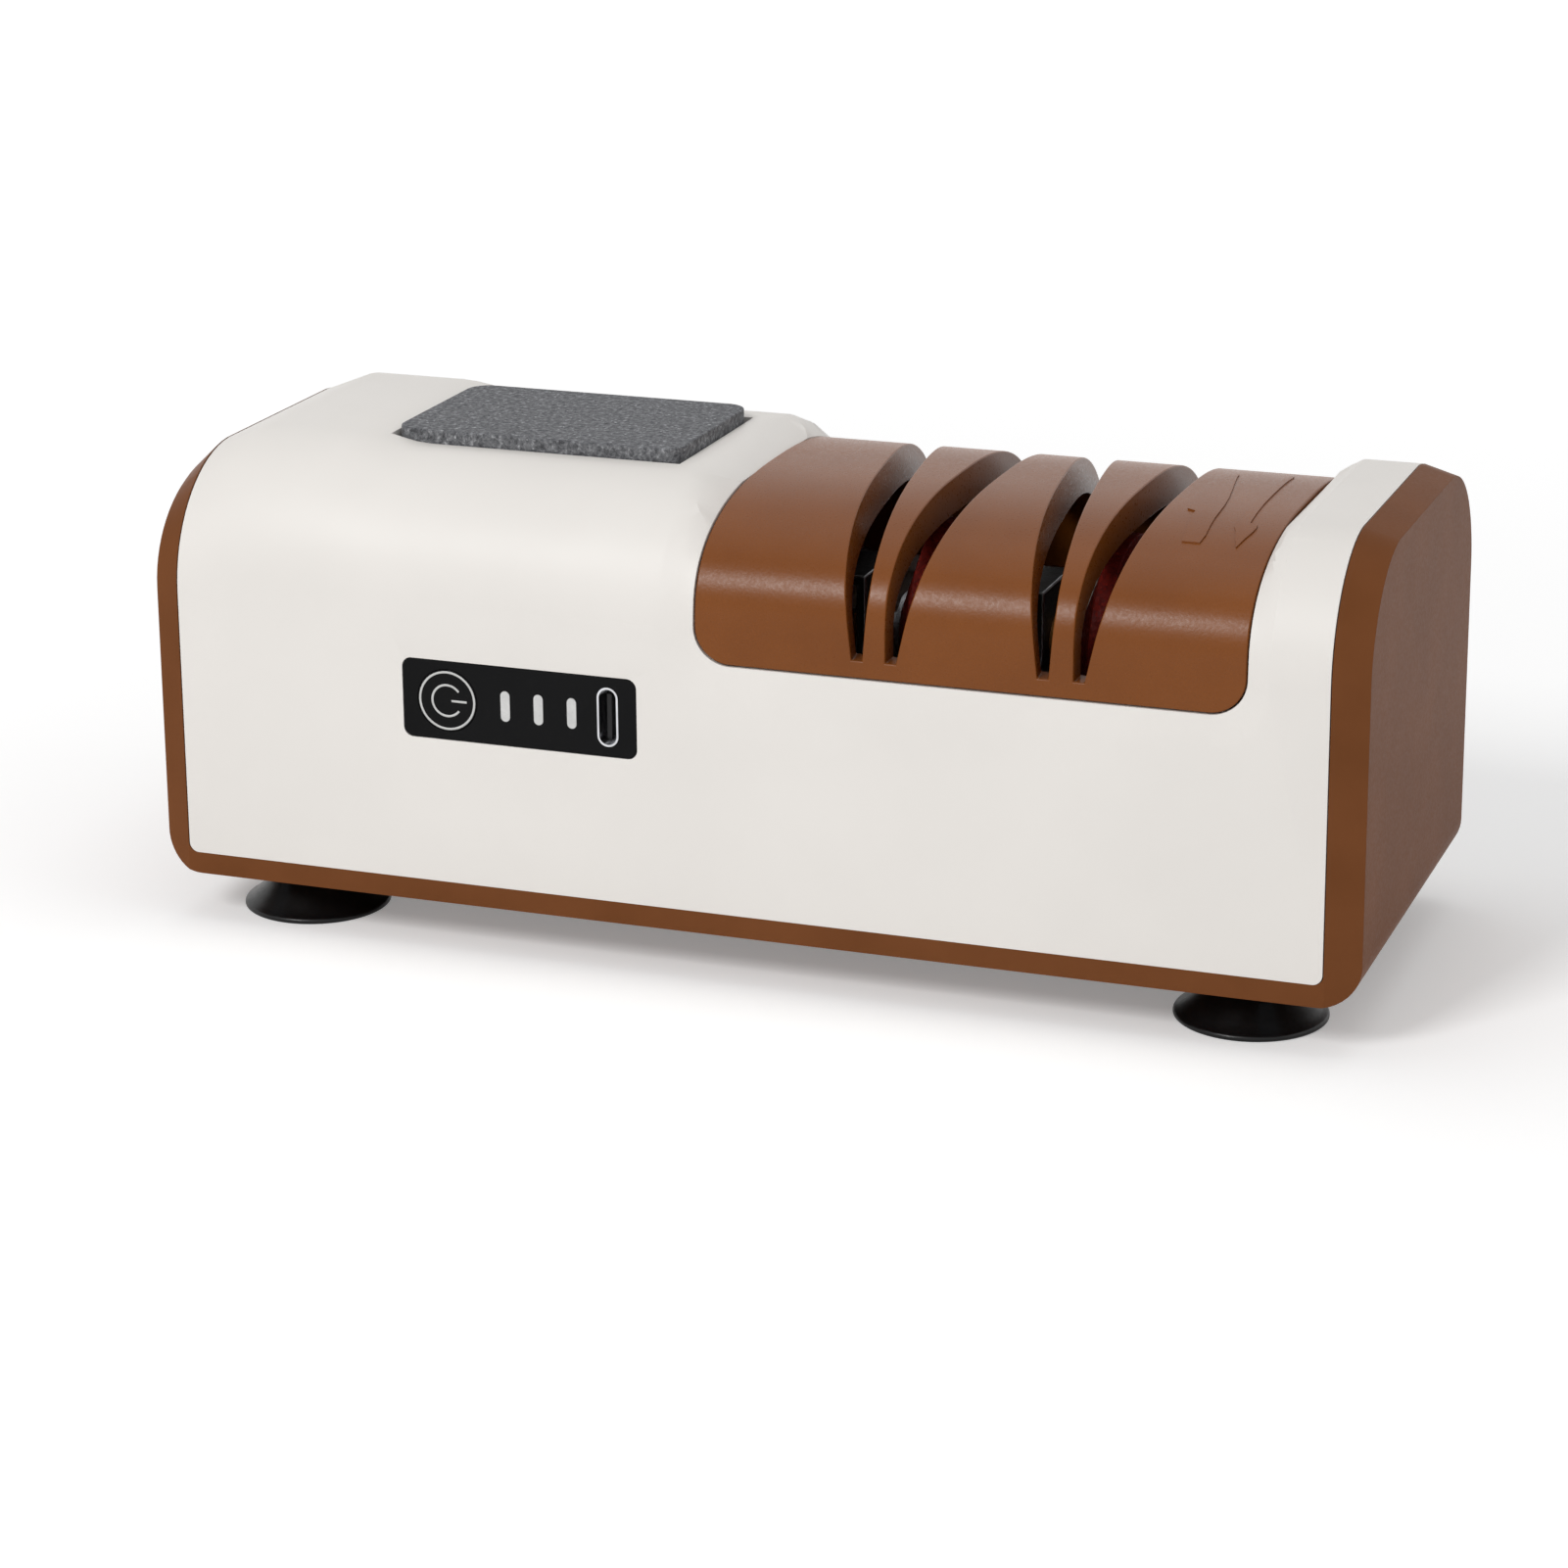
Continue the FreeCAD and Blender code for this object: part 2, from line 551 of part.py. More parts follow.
slot_rise = "(crown_top - slot_bottom)"
slot_rows = [("SlotOne", "slot_one", "lean_left", "lean_right", "slot_turn"),
             ("SlotTwo", "slot_two", "0", "lean_steep", "-0.6"),
             ("SlotThree", "slot_three", "lean_left", "lean_right", "slot_turn"),
             ("SlotFour", "slot_four", "0", "lean_steep", "-0.6")]
slots = []
for name, foot, lean_a, lean_b, turn in slot_rows:
    # A wedge with a narrow foot: its own Y runs up and its own Z runs to the front.
    wedge = doc.addObject("Part::Wedge", name)
    bind(wedge, "Xmin", "-slot_foot / 2")
    bind(wedge, "Xmax", "slot_foot / 2")
    bind(wedge, "Ymin", "0")
    bind(wedge, "Ymax", slot_rise)
    bind(wedge, "X2min", "-slot_foot / 2 - %s * %s" % (lean_a, slot_rise))
    bind(wedge, "X2max", "slot_foot / 2 + %s * %s" % (lean_b, slot_rise))
    for prop, text in (("Zmin", "-depth - 10"), ("Z2min", "-depth - 10"),
                       ("Zmax", "5"), ("Z2max", "5")):
        bind(wedge, prop, text)
    stand = FreeCAD.Rotation(FreeCAD.Vector(1, 0, 0), 90)
    swing = FreeCAD.Rotation(FreeCAD.Vector(0, 0, 1), number(turn))
    wedge.Placement.Rotation = swing.multiply(stand)
    place(wedge, "%s + %s" % (left, foot), "-depth / 2 + guide_inset", "slot_bottom")
    slots.append(wedge)
slotted = cut("SlottedArch", arch, slots)
reach = "(depth + 10)"
borders = [("-12", "0"), ("slot_one", "-slot_turn"), ("slot_two", "0.6"),
           ("slot_three", "-slot_turn"), ("slot_four", "0.6"), ("length + 12", "0")]
piece_names = ["guide_left", "guide_rib_one", "guide_middle", "guide_rib_two",
               "guide_right"]
for piece, (low, high) in zip(piece_names, zip(borders, borders[1:])):
    span = doc.addObject("Part::Wedge", "Span" + piece.title().replace("_", ""))
    front_y = "(-depth / 2 + guide_inset)"
    for (start, turn), near, away in ((low, "Xmin", "X2min"), (high, "Xmax", "X2max")):
        slope = "tan(1 deg * (%s))" % turn
        bind(span, near, "%s + %s - 5 * %s" % (left, start, slope))
        bind(span, away, "%s + %s + %s * %s" % (left, start, reach, slope))
    bind(span, "Ymin", front_y + " - 5")
    bind(span, "Ymax", front_y + " + " + reach)
    for prop, text in (("Zmin", "guide_bottom - 2"), ("Z2min", "guide_bottom - 2"),
                       ("Zmax", "crown_top + 5"), ("Z2max", "crown_top + 5")):
        bind(span, prop, text)
    part = doc.addObject("Part::MultiCommon", piece.title().replace("_", ""))
    part.Shapes = [slotted, span]
    finish(part, piece)

# Whetstone and the thin pad that it lies on.
stone_base = "(top + stone_proud - stone_thick)"
stone_left = "(%s + stone_from)" % left
stone = new_body("Whetstone")
stone_face = new_sketch(stone, "StoneFace", "XY_Plane", stone_base)
rounded(stone_face, stone_left, stone_left + " + stone_length", "(-stone_width / 2)",
        "(stone_width / 2)", "2.0")
pad(stone, stone_face, "stone_thick")
finish(stone, "whetstone")
pad_piece = new_body("StonePad")
pad_face = new_sketch(pad_piece, "PadFace", "XY_Plane", seat_floor)
rounded(pad_face, "(%s + 2)" % stone_left, "(%s + stone_length - 2)" % stone_left,
        "(-stone_width / 2 + 2)", "(stone_width / 2 - 2)", "1.5")
pad(pad_piece, pad_face, "pad_thick")
finish(pad_piece, "stone_pad")

# Control panel with its button, light guide and charging port.
panel_face_at = "(depth / 2 - 0.05)"
panel_back_at = "(depth / 2 - panel_thick)"
button_x = "(%s + button_from)" % left
panel_middle = "(panel_low + panel_high / 2)"
port_x = "(%s + port_from)" % left


def pill(item, x, y, wide, high):
    # An upright slot with round ends.
    outline(item,
            [("%s + %s / 2" % (x, wide), "%s - (%s - %s) / 2" % (y, high, wide)),
             ("%s + %s / 2" % (x, wide), "%s + (%s - %s) / 2" % (y, high, wide)),
             ("%s - %s / 2" % (x, wide), "%s + (%s - %s) / 2" % (y, high, wide)),
             ("%s - %s / 2" % (x, wide), "%s - (%s - %s) / 2" % (y, high, wide))],
            {1: ("before", x, "%s + (%s - %s) / 2" % (y, high, wide)),
             3: ("before", x, "%s - (%s - %s) / 2" % (y, high, wide))})


panel = new_body("ControlPanel")
face = new_sketch(panel, "PanelFace", "XZ_Plane", panel_back_at)
rounded(face, panel_left, panel_right, "panel_low", panel_top, "panel_round")
pad(panel, face, "panel_thick - 0.05")
panel_holes = new_sketch(panel, "PanelButtonHole", "XZ_Plane", panel_face_at)
ring(panel_holes, button_x, panel_middle, "button_radius + button_gap")
pocket(panel, panel_holes, "panel_thick + 1")
lights = ["(%s + light_from + light_step * %d)" % (left, i) for i in range(3)]
for i, x in enumerate(lights):
    light_hole = new_sketch(panel, "PanelLightHole%s" % "ABC"[i], "XZ_Plane", panel_face_at)
    pill(light_hole, x, panel_middle, "(light_wide + 0.06)", "(light_high + 0.06)")
    pocket(panel, light_hole, "panel_thick + 1")
port_hole = new_sketch(panel, "PanelPortHole", "XZ_Plane", panel_face_at)
pill(port_hole, port_x, panel_middle, "(port_wide + 0.1)", "(port_high + 0.1)")
pocket(panel, port_hole, "panel_thick + 1")
finish(panel, "control_panel")

guide_light = new_body("LightGuide")
bar = new_sketch(guide_light, "LightBar", "XZ_Plane", "depth / 2 - board_back")
light_low = "(%s - light_high / 2 - 0.4)" % panel_middle
light_high_at = "(%s + light_high / 2 + 0.4)" % panel_middle
outline(bar, [(lights[0] + " - light_wide", light_low), (lights[2] + " + light_wide", light_low),
              (lights[2] + " + light_wide", light_high_at),
              (lights[0] + " - light_wide", light_high_at)])
pad(guide_light, bar, "board_back - panel_thick")
for i, x in enumerate(lights):
    light_face = new_sketch(guide_light, "LightFace%s" % "ABC"[i], "XZ_Plane",
                            panel_back_at + " - 0.5")
    pill(light_face, x, panel_middle, "light_wide", "light_high")
    pad(guide_light, light_face, "panel_thick + 0.5 - 0.05")
finish(guide_light, "led_light_guide")

button = fuse("PowerButton", [
    rod("ButtonCap", "y", (button_x, "-depth / 2", panel_middle), "button_radius",
        "panel_thick + 0.2"),
    rod("ButtonFlange", "y", (button_x, "-depth / 2 + panel_thick + 0.05", panel_middle),
        "button_radius + 0.4", "0.8"),
])
finish(button, "power_button")
switch_front = "(-depth / 2 + panel_thick + 0.05 + 0.8 + press + 0.5)"
stem_radius = "1.6"
stem = rod("SwitchStem", "y", (button_x, "-depth / 2 + panel_thick + 0.85", panel_middle),
           stem_radius, "press + 1.5")
stem_piece = fuse("SwitchStemPiece", [stem, rod(
    "StemFoot", "y", (button_x, "-depth / 2 + panel_thick + 1.85", panel_middle), "1.2", "1.0")])
finish(stem_piece, "switch_stem")
board_front = "(-depth / 2 + board_back)"
switch = cut("TactSwitch",
             box("SwitchCase", (button_x + " - 3", switch_front, panel_middle + " - 3"),
                 ("6", board_front + " - " + switch_front, "6")),
             [rod("SwitchBore", "y", (button_x, switch_front + " - 1", panel_middle),
                  stem_radius + " + running_gap", "1 + 0.6 + press + 0.4")])
finish(switch, "tact_switch")

port = new_body("PortShell")
port_outer = new_sketch(port, "PortOuter", "XZ_Plane", "depth / 2 - board_back")
pill(port_outer, port_x, panel_middle, "port_wide", "port_high")
pad(port, port_outer, "board_back")
port_inner = new_sketch(port, "PortInner", "XZ_Plane", front)
pill(port_inner, port_x, panel_middle, "(port_wide - 2 * port_sheet)",
     "(port_high - 2 * port_sheet)")
pocket(port, port_inner, "board_back - 0.4")
finish(port, "usb_shell")
tongue = fuse("PortTongue", [box(
    "Tongue", (port_x + " - 0.35", "-depth / 2 + 0.8", panel_middle + " - 3.3"),
    ("0.7", "board_back - 1.2", "6.6")), box(
    "TongueRoot", (port_x + " - 0.7", "-depth / 2 + 3.4", panel_middle + " - 3.6"),
    ("1.4", "board_back - 3.8", "7.2"))])
finish(tongue, "usb_tongue")
board = cut("MainBoard",
            box("BoardPlate", (board_left, board_front, board_low),
                ("panel_length + 7", "1.6", "panel_high + 8")),
            [rod("BoardHole%s" % name, "y", (x, board_front + " - 1", y), "0.9", "4")
             for name, x, y in (("A", board_left + " + 2", board_low + " + 2"),
                                ("B", board_right + " - 2", board_high + " - 2"))])
finish(board, "main_board")

# Motor, battery and the moulded carrier that holds them.
motor_x = "(%s + motor_from)" % left
motor_end = "(%s + motor_from + motor_length)" % left


def turned(name, x, profile):
    # A body turned about the shaft axis. The profile gives pairs of position and radius.
    body = new_body(name)
    item = new_sketch(body, name + "Profile", "XZ_Plane")
    outline(item, profile)
    revolve(body, item, "H_Axis")
    body.Placement = FreeCAD.Placement()
    bind(body, "Placement.Base.x", x)
    return body


def finish_turned(item, label):
    item.Label = label
    bind(item, "Placement.Base.z", "foot_height + axis_height")
    finished.append(item)


can_bore = "(motor_shaft + 0.6)"
can = turned("MotorCan", motor_x, [
    ("0", "motor_radius - 1.2"), ("0", "motor_radius"), ("motor_length", "motor_radius"),
    ("motor_length", "3.2"), ("motor_length + 2", "3.2"), ("motor_length + 2", can_bore),
    ("motor_length - 1.2", can_bore), ("motor_length - 1.2", "motor_radius - 1.2")])
finish_turned(can, "motor_can")
magnets = turned("MotorMagnets", motor_x, [
    ("5", "motor_radius - 3.2"), ("5", "motor_radius - 1.2"),
    ("motor_length - 5", "motor_radius - 1.2"), ("motor_length - 5", "motor_radius - 3.2")])
finish_turned(magnets, "motor_magnets")
cap = turned("MotorCap", motor_x, [
    ("-3", "motor_shaft + 0.6"), ("-3", "5"), ("-1.5", "5"), ("-1.5", "motor_radius"),
    ("0", "motor_radius"), ("0", "motor_radius - 1.25"), ("2", "motor_radius - 1.25"),
    ("2", "motor_shaft + 0.6")])
finish_turned(cap, "motor_end_cap")
rotor = turned("MotorRotor", motor_x, [
    ("-2.5", "0"), ("-2.5", "motor_shaft"), ("3", "motor_shaft"), ("3", "3.5"), ("7", "3.5"),
    ("7", "motor_radius - 3.8"), ("motor_length - 7", "motor_radius - 3.8"),
    ("motor_length - 7", "3.5"), ("motor_length - 4", "3.5"),
    ("motor_length - 4", "motor_shaft"), ("motor_length + 14", "motor_shaft"),
    ("motor_length + 14", "0")])
finish_turned(rotor, "motor_rotor")
axis_z = "axis_height"
tabs = fuse("MotorTerminals", [
    box("TabFront", (motor_x + " - 8", "-9.4", axis_z + " - 2.5"), ("6.5", "0.8", "5")),
    box("TabBack", (motor_x + " - 8", "8.6", axis_z + " - 2.5"), ("6.5", "0.8", "5"))])
finish(tabs, "motor_terminals")
carrier_x = "(%s + 6)" % motor_x
carrier_length = "(motor_length - 12)"
cell_z = "(strip + cell_radius + 1.2)"
carrier_tools = [rod("CarrierSaddle", "x", (carrier_x + " - 1", "0", axis_z), "motor_radius",
                     carrier_length + " + 2")]
cells = []
for name, side in (("Front", -1), ("Back", 1)):
    cell_y = "%d * cell_apart / 2" % side
    carrier_tools.append(rod("CarrierBore" + name, "x", (carrier_x + " - 1", cell_y, cell_z),
                             "cell_radius", carrier_length + " + 2"))
    cells.append((name, cell_y))
carrier = cut("PowerCarrier",
              box("CarrierBlock", (carrier_x, "-22", "strip"), (carrier_length, "44",
                                                               "axis_height - strip - 6")),
              carrier_tools)
finish(carrier, "power_carrier")
cell_x = "(%s + 7.5)" % left
for name, cell_y in cells:
    cell = fuse("BatteryCell" + name, [
        rod("CellCan" + name, "x", (cell_x, cell_y, cell_z), "cell_radius", "cell_length - 1.5"),
        rod("CellTip" + name, "x", (cell_x + " + cell_length - 1.5", cell_y, cell_z), "2.8",
            "1.5")])
    finish(cell, "battery_cell_" + name.lower())
strap_x = "(%s + %s / 2 - 4)" % (carrier_x, carrier_length)
saddle_top = "(axis_height - 6)"
strap_ring = cut("StrapRing", rod("StrapOuter", "x", (strap_x, "0", axis_z),
                                  "motor_radius + 0.8", "8"),
                 [rod("StrapInner", "x", (strap_x + " - 1", "0", axis_z), "motor_radius", "10"),
                  box("StrapBelow", (strap_x + " - 1", "-30", axis_z + " - 46"),
                      ("10", "60", "40"))])
strap_feet = [box("StrapFoot" + name, (strap_x, start, saddle_top), ("8", "20.5 - 13.2", "0.8"))
              for name, start in (("Front", "-20.5"), ("Back", "13.2"))]
finish(fuse("MotorStrap", [strap_ring] + strap_feet), "motor_strap")

# Wheel shaft with its coupling, hubs, double cone wheels, brackets and bushes.
coupling = turned("ShaftCoupling", motor_end, [
    ("8", "motor_shaft"), ("8", "4.5"), ("17.5", "4.5"), ("17.5", "shaft_radius"),
    ("14.5", "shaft_radius"), ("14.5", "motor_shaft")])
finish_turned(coupling, "shaft_coupling")
shaft = turned("WheelShaft", left, [
    ("motor_from + motor_length + 14.5", "0"),
    ("motor_from + motor_length + 14.5", "shaft_radius"),
    ("bracket_three + sheet + 3", "shaft_radius"), ("bracket_three + sheet + 3", "0")])
finish_turned(shaft, "wheel_shaft")
rim_half = "wheel_rim / 2"
for number_word, centre in (("One", "wheel_one"), ("Two", "wheel_two")):
    wheel = turned("Wheel" + number_word, "%s + %s" % (left, centre), [
        ("-(%s + 4.7)" % rim_half, "hub_radius"), ("-(%s + 4.7)" % rim_half, "hub_radius + 1"),
        ("-" + rim_half, "wheel_radius"), (rim_half, "wheel_radius"),
        (rim_half + " + 1.4", "hub_radius + 2.5"), (rim_half + " + 1.4", "hub_radius")])
    finish_turned(wheel, "wheel_" + number_word.lower())
    hub = turned("Hub" + number_word, "%s + %s" % (left, centre), [
        ("-(%s + 5.3)" % rim_half, "shaft_radius"), ("-(%s + 5.3)" % rim_half, "hub_radius + 0.8"),
        ("-(%s + 4.7)" % rim_half, "hub_radius + 0.8"), ("-(%s + 4.7)" % rim_half, "hub_radius"),
        (rim_half + " + 1.4", "hub_radius"), (rim_half + " + 1.4", "hub_radius + 1.2"),
        (rim_half + " + 2.4", "hub_radius + 1.2"), (rim_half + " + 2.4", "shaft_radius")])
    finish_turned(hub, "wheel_hub_" + number_word.lower())
bracket_rows = [("One", "bracket_one", "12"), ("Two", "bracket_two", "12"),
                ("Three", "bracket_three", "7")]
for number_word, where, rise in bracket_rows:
    plate_x = "%s + %s" % (left, where)
    plate = new_body("Bracket" + number_word)
    plate_face = new_sketch(plate, "BracketFace" + number_word, "YZ_Plane", plate_x)
    outline(plate_face, [("-16", "strip"), ("16", "strip"), ("16", "strip + 12"),
                         ("7", axis_z), ("7", axis_z + " + " + rise),
                         ("-7", axis_z + " + " + rise), ("-7", axis_z), ("-16", "strip + 12")])
    pad(plate, plate_face, "sheet")
    for end, low in (("Foot", "strip"), ("Lip", axis_z + " + " + rise + " - sheet")):
        wide = "16" if end == "Foot" else "7"
        block(plate, "Bracket" + end + number_word, "XY_Plane", low, plate_x + " - 5", plate_x,
              "-" + wide, wide, "sheet")
    plate_bore = new_sketch(plate, "BracketBore" + number_word, "YZ_Plane", plate_x)
    ring(plate_bore, "0", axis_z, "bush_radius")
    pocket(plate, plate_bore, "sheet + 1", turned=True)
    finish(plate, "bearing_bracket_" + number_word.lower())
    bush = turned("Bush" + number_word, plate_x, [
        ("-1.2", "shaft_radius + running_gap"), ("-1.2", "bush_radius + 1"),
        ("0", "bush_radius + 1"), ("0", "bush_radius"), ("sheet + 1", "bush_radius"),
        ("sheet + 1", "shaft_radius + running_gap")])
    finish_turned(bush, "bearing_bush_" + number_word.lower())

# Four suction feet, the screws that hold them and the screws of the casing.
foot_screws = []
cover_screws = []
for name, sx, sy in (("front_left", -1, -1), ("front_right", 1, -1),
                     ("back_left", -1, 1), ("back_right", 1, 1)):
    tag = name.title().replace("_", "")
    foot_x = "%d * (length / 2 - foot_x)" % sx
    foot_y = "%d * (depth / 2 - foot_y)" % sy
    foot = new_body("Foot" + tag)
    profile = new_sketch(foot, "FootProfile" + tag, "XZ_Plane")
    outline(profile, [
        ("1.3", "foot_height"), ("4.6", "foot_height"), ("4.6", "foot_height - 1.6"),
        ("6.4", "foot_height - 2.6"), ("8.6", "2.6"), ("foot_radius - 1.0", "1.3"),
        ("foot_radius", "0.7"), ("foot_radius", "0"), ("foot_radius - 0.9", "0"),
        ("8.2", "1.2"), ("5.0", "2.3"), ("0", "2.8"), ("0", "3.6"), ("1.3", "3.6")])
    revolve(foot, profile, "V_Axis")
    bind(foot, "Placement.Base.x", foot_x)
    bind(foot, "Placement.Base.y", foot_y)
    foot.Label = "suction_foot_" + name
    finished.append(foot)
    foot_screws.append(rod("FootScrewHead" + tag, "z", (foot_x, foot_y, "strip"), "3", "1.6"))
    foot_screws.append(rod("FootScrewShank" + tag, "z", (foot_x, foot_y, "-3.4"), "1.3",
                           "strip + 3.6"))
    screw_x = "%d * (length / 2 - screw_x)" % sx
    screw_y = "%d * (depth / 2 - screw_y)" % sy
    cover_screws.append(rod("CoverScrewHead" + tag, "z", (screw_x, screw_y, "0.2"), "2.8",
                            "1.4"))
    cover_screws.append(rod("CoverScrewShank" + tag, "z", (screw_x, screw_y, "1"), "1.45",
                            "13"))
finish(fuse("FootScrews", foot_screws), "foot_screws")
finish(fuse("CoverScrews", cover_screws), "cover_screws")

doc.recompute()
for item in doc.Objects:
    if "Invalid" in item.State or "Error" in item.State:
        raise RuntimeError("failed: " + item.Name)
os.makedirs("parts", exist_ok=True)
for item in finished:
    shape = item.Shape
    if shape.isNull() or not shape.isValid() or not shape.Solids:
        raise RuntimeError("bad shape: " + item.Label)
    shape.exportStep("parts/" + item.Label + ".step")
    print(item.Label, len(shape.Solids), round(shape.Volume, 1))
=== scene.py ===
# %% [markdown]
# # An electric knife sharpener
#
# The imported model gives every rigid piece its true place. This lesson dresses that model:
# it softens the moulded edges, adds the marks and screws, gives each piece a finish and
# sets up the photograph's camera. The load step comes first, because all else rests on it.

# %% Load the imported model
import json
import math

import bmesh
import bpy
from mathutils import Matrix, Vector

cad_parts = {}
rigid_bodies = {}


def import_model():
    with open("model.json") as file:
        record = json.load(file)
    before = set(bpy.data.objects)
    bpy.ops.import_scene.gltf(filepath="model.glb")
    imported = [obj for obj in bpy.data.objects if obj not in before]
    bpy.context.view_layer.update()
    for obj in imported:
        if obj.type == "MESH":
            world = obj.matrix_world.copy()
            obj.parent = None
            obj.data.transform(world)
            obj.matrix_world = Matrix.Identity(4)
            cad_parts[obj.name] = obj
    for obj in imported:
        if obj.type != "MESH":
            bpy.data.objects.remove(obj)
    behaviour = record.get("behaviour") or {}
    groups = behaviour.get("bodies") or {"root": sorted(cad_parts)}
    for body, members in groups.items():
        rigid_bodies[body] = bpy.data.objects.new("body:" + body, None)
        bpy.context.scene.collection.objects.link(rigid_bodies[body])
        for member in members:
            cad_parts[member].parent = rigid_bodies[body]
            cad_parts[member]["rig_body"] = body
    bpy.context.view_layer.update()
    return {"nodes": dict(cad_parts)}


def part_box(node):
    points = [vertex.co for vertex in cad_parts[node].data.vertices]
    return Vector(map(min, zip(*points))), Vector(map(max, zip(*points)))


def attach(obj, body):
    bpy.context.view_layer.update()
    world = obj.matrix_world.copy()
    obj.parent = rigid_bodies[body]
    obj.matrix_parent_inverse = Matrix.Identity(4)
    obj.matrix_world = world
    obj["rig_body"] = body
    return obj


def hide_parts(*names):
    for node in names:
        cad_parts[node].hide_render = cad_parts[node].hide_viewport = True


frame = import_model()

nodes = frame["nodes"]
print("pieces in the model:", len(nodes))

# %% [markdown]
# ## Colours
#
# A paint chart gives colours as they look on a screen. Shaders count light, so each chart
# value is turned into an amount of light first. One helper does that for every finish.


# %% Chart colours to light
def chart(red, green, blue):
    levels = []
    for value in (red, green, blue):
        share = value / 255.0
        if share <= 0.04045:
            levels.append(share / 12.92)
        else:
            levels.append(((share + 0.055) / 1.055) ** 2.4)
    return (*levels, 1.0)


print("casing white as light:", [round(v, 3) for v in chart(233, 229, 224)[:3]])

# %% [markdown]
# ## Moulded plastic
#
# The casing is a satin moulding and the brown pieces have a fine leather-like grain that
# the mould leaves. Both need three things: a colour that is not quite even, a grain in the
# bump, and a sheen that breaks up a little. Two noises on Object coordinates give all
# three, so the grain stays the same size on every piece, whatever its shape.


# %% A helper for noisy finishes
def add(tree, kind, **inputs):
    node = tree.nodes.new(kind)
    for name, value in inputs.items():
        node.inputs[name.replace("_", " ")].default_value = value
    return node


def ramp_between(tree, factor, stops):
    ramp = tree.nodes.new("ShaderNodeValToRGB")
    ramp.color_ramp.elements[0].position = stops[0][0]
    ramp.color_ramp.elements[0].color = stops[0][1]
    ramp.color_ramp.elements[1].position = stops[-1][0]
    ramp.color_ramp.elements[1].color = stops[-1][1]
    for position, colour in stops[1:-1]:
        ramp.color_ramp.elements.new(position).color = colour
    tree.links.new(factor, ramp.inputs["Fac"])
    return ramp.outputs["Color"]


def finish(name, light, dark, patch, grain, depth, rough, metal=0.0, shine=0.5,
           stretch=(1, 1, 1)):
    # patch and grain are sizes in metres, depth is the height of the grain in metres.
    material = bpy.data.materials.new(name)
    material.use_nodes = True
    tree = material.node_tree
    shader = tree.nodes["Principled BSDF"]
    shader.inputs["Metallic"].default_value = metal
    shader.inputs["Specular IOR Level"].default_value = shine
    place = tree.nodes.new("ShaderNodeTexCoord")
    turn = add(tree, "ShaderNodeMapping", Scale=stretch)
    tree.links.new(place.outputs["Object"], turn.inputs["Vector"])
    cloud = add(tree, "ShaderNodeTexNoise", Scale=1.0 / patch, Detail=3.0)
    fine = add(tree, "ShaderNodeTexNoise", Scale=1.0 / grain, Detail=2.0)
    for noise in (cloud, fine):
        tree.links.new(turn.outputs["Vector"], noise.inputs["Vector"])
    colour = ramp_between(tree, cloud.outputs["Fac"], [(0.3, dark), (0.7, light)])
    tree.links.new(colour, shader.inputs["Base Color"])
    sheen = add(tree, "ShaderNodeMapRange", To_Min=rough[0], To_Max=rough[1])
    sheen.inputs["From Min"].default_value = 0.3
    sheen.inputs["From Max"].default_value = 0.7
    tree.links.new(fine.outputs["Fac"], sheen.inputs["Value"])
    tree.links.new(sheen.outputs["Result"], shader.inputs["Roughness"])
    bump = add(tree, "ShaderNodeBump", Strength=1.0, Distance=depth)
    tree.links.new(fine.outputs["Fac"], bump.inputs["Height"])
    tree.links.new(bump.outputs["Normal"], shader.inputs["Normal"])
    print("finish:", name)
    return material


# %% Plastics and rubber
casing_white = finish("casing white", chart(236, 232, 227), chart(232, 228, 223), 0.03, 0.0004,
                      0.000004, (0.44, 0.52), shine=0.4)
grained_brown = finish("grained brown", chart(125, 69, 21), chart(118, 64, 18), 0.012, 0.00045,
                       0.000018, (0.26, 0.36), shine=0.23)
frame_brown = finish("frame brown", chart(118, 72, 42), chart(111, 67, 38), 0.012, 0.00045,
                     0.00001, (0.36, 0.44), shine=0.03)
# This black is also painted shade: on the bearing brackets it stands for steel lying in the
# shadow of the slots.
black_and_painted_shade = finish("black and painted shade", chart(26, 25, 26), chart(18, 18, 19), 0.008, 0.0005,
                     0.00001, (0.45, 0.6), shine=0.3)
panel_black = finish("panel black", chart(17, 17, 18), chart(13, 13, 14), 0.02, 0.0008,
                     0.000001, (0.12, 0.18), shine=0.08)
foot_rubber = finish("foot rubber", chart(13, 13, 14), chart(8, 8, 9), 0.006, 0.0006,
                     0.00001, (0.28, 0.38), shine=0.3)
mark_grey = finish("mark grey", chart(208, 208, 206), chart(196, 196, 195), 0.002, 0.0002,
                   0.000001, (0.4, 0.5))
milky_light = finish("milky light", chart(214, 214, 212), chart(198, 198, 197), 0.002, 0.0003,
                     0.000002, (0.25, 0.35))

# %% [markdown]
# ## Metals and the rest of the inside
#
# The slots and the lifted stone show only a little of the inside, but each piece still gets
# its own finish: turned and pressed steel with fine lines along the work, brass, bronze,
# a green board and shrink wrap on the cells. Stretching the noise along one axis draws the
# lines that a tool leaves.

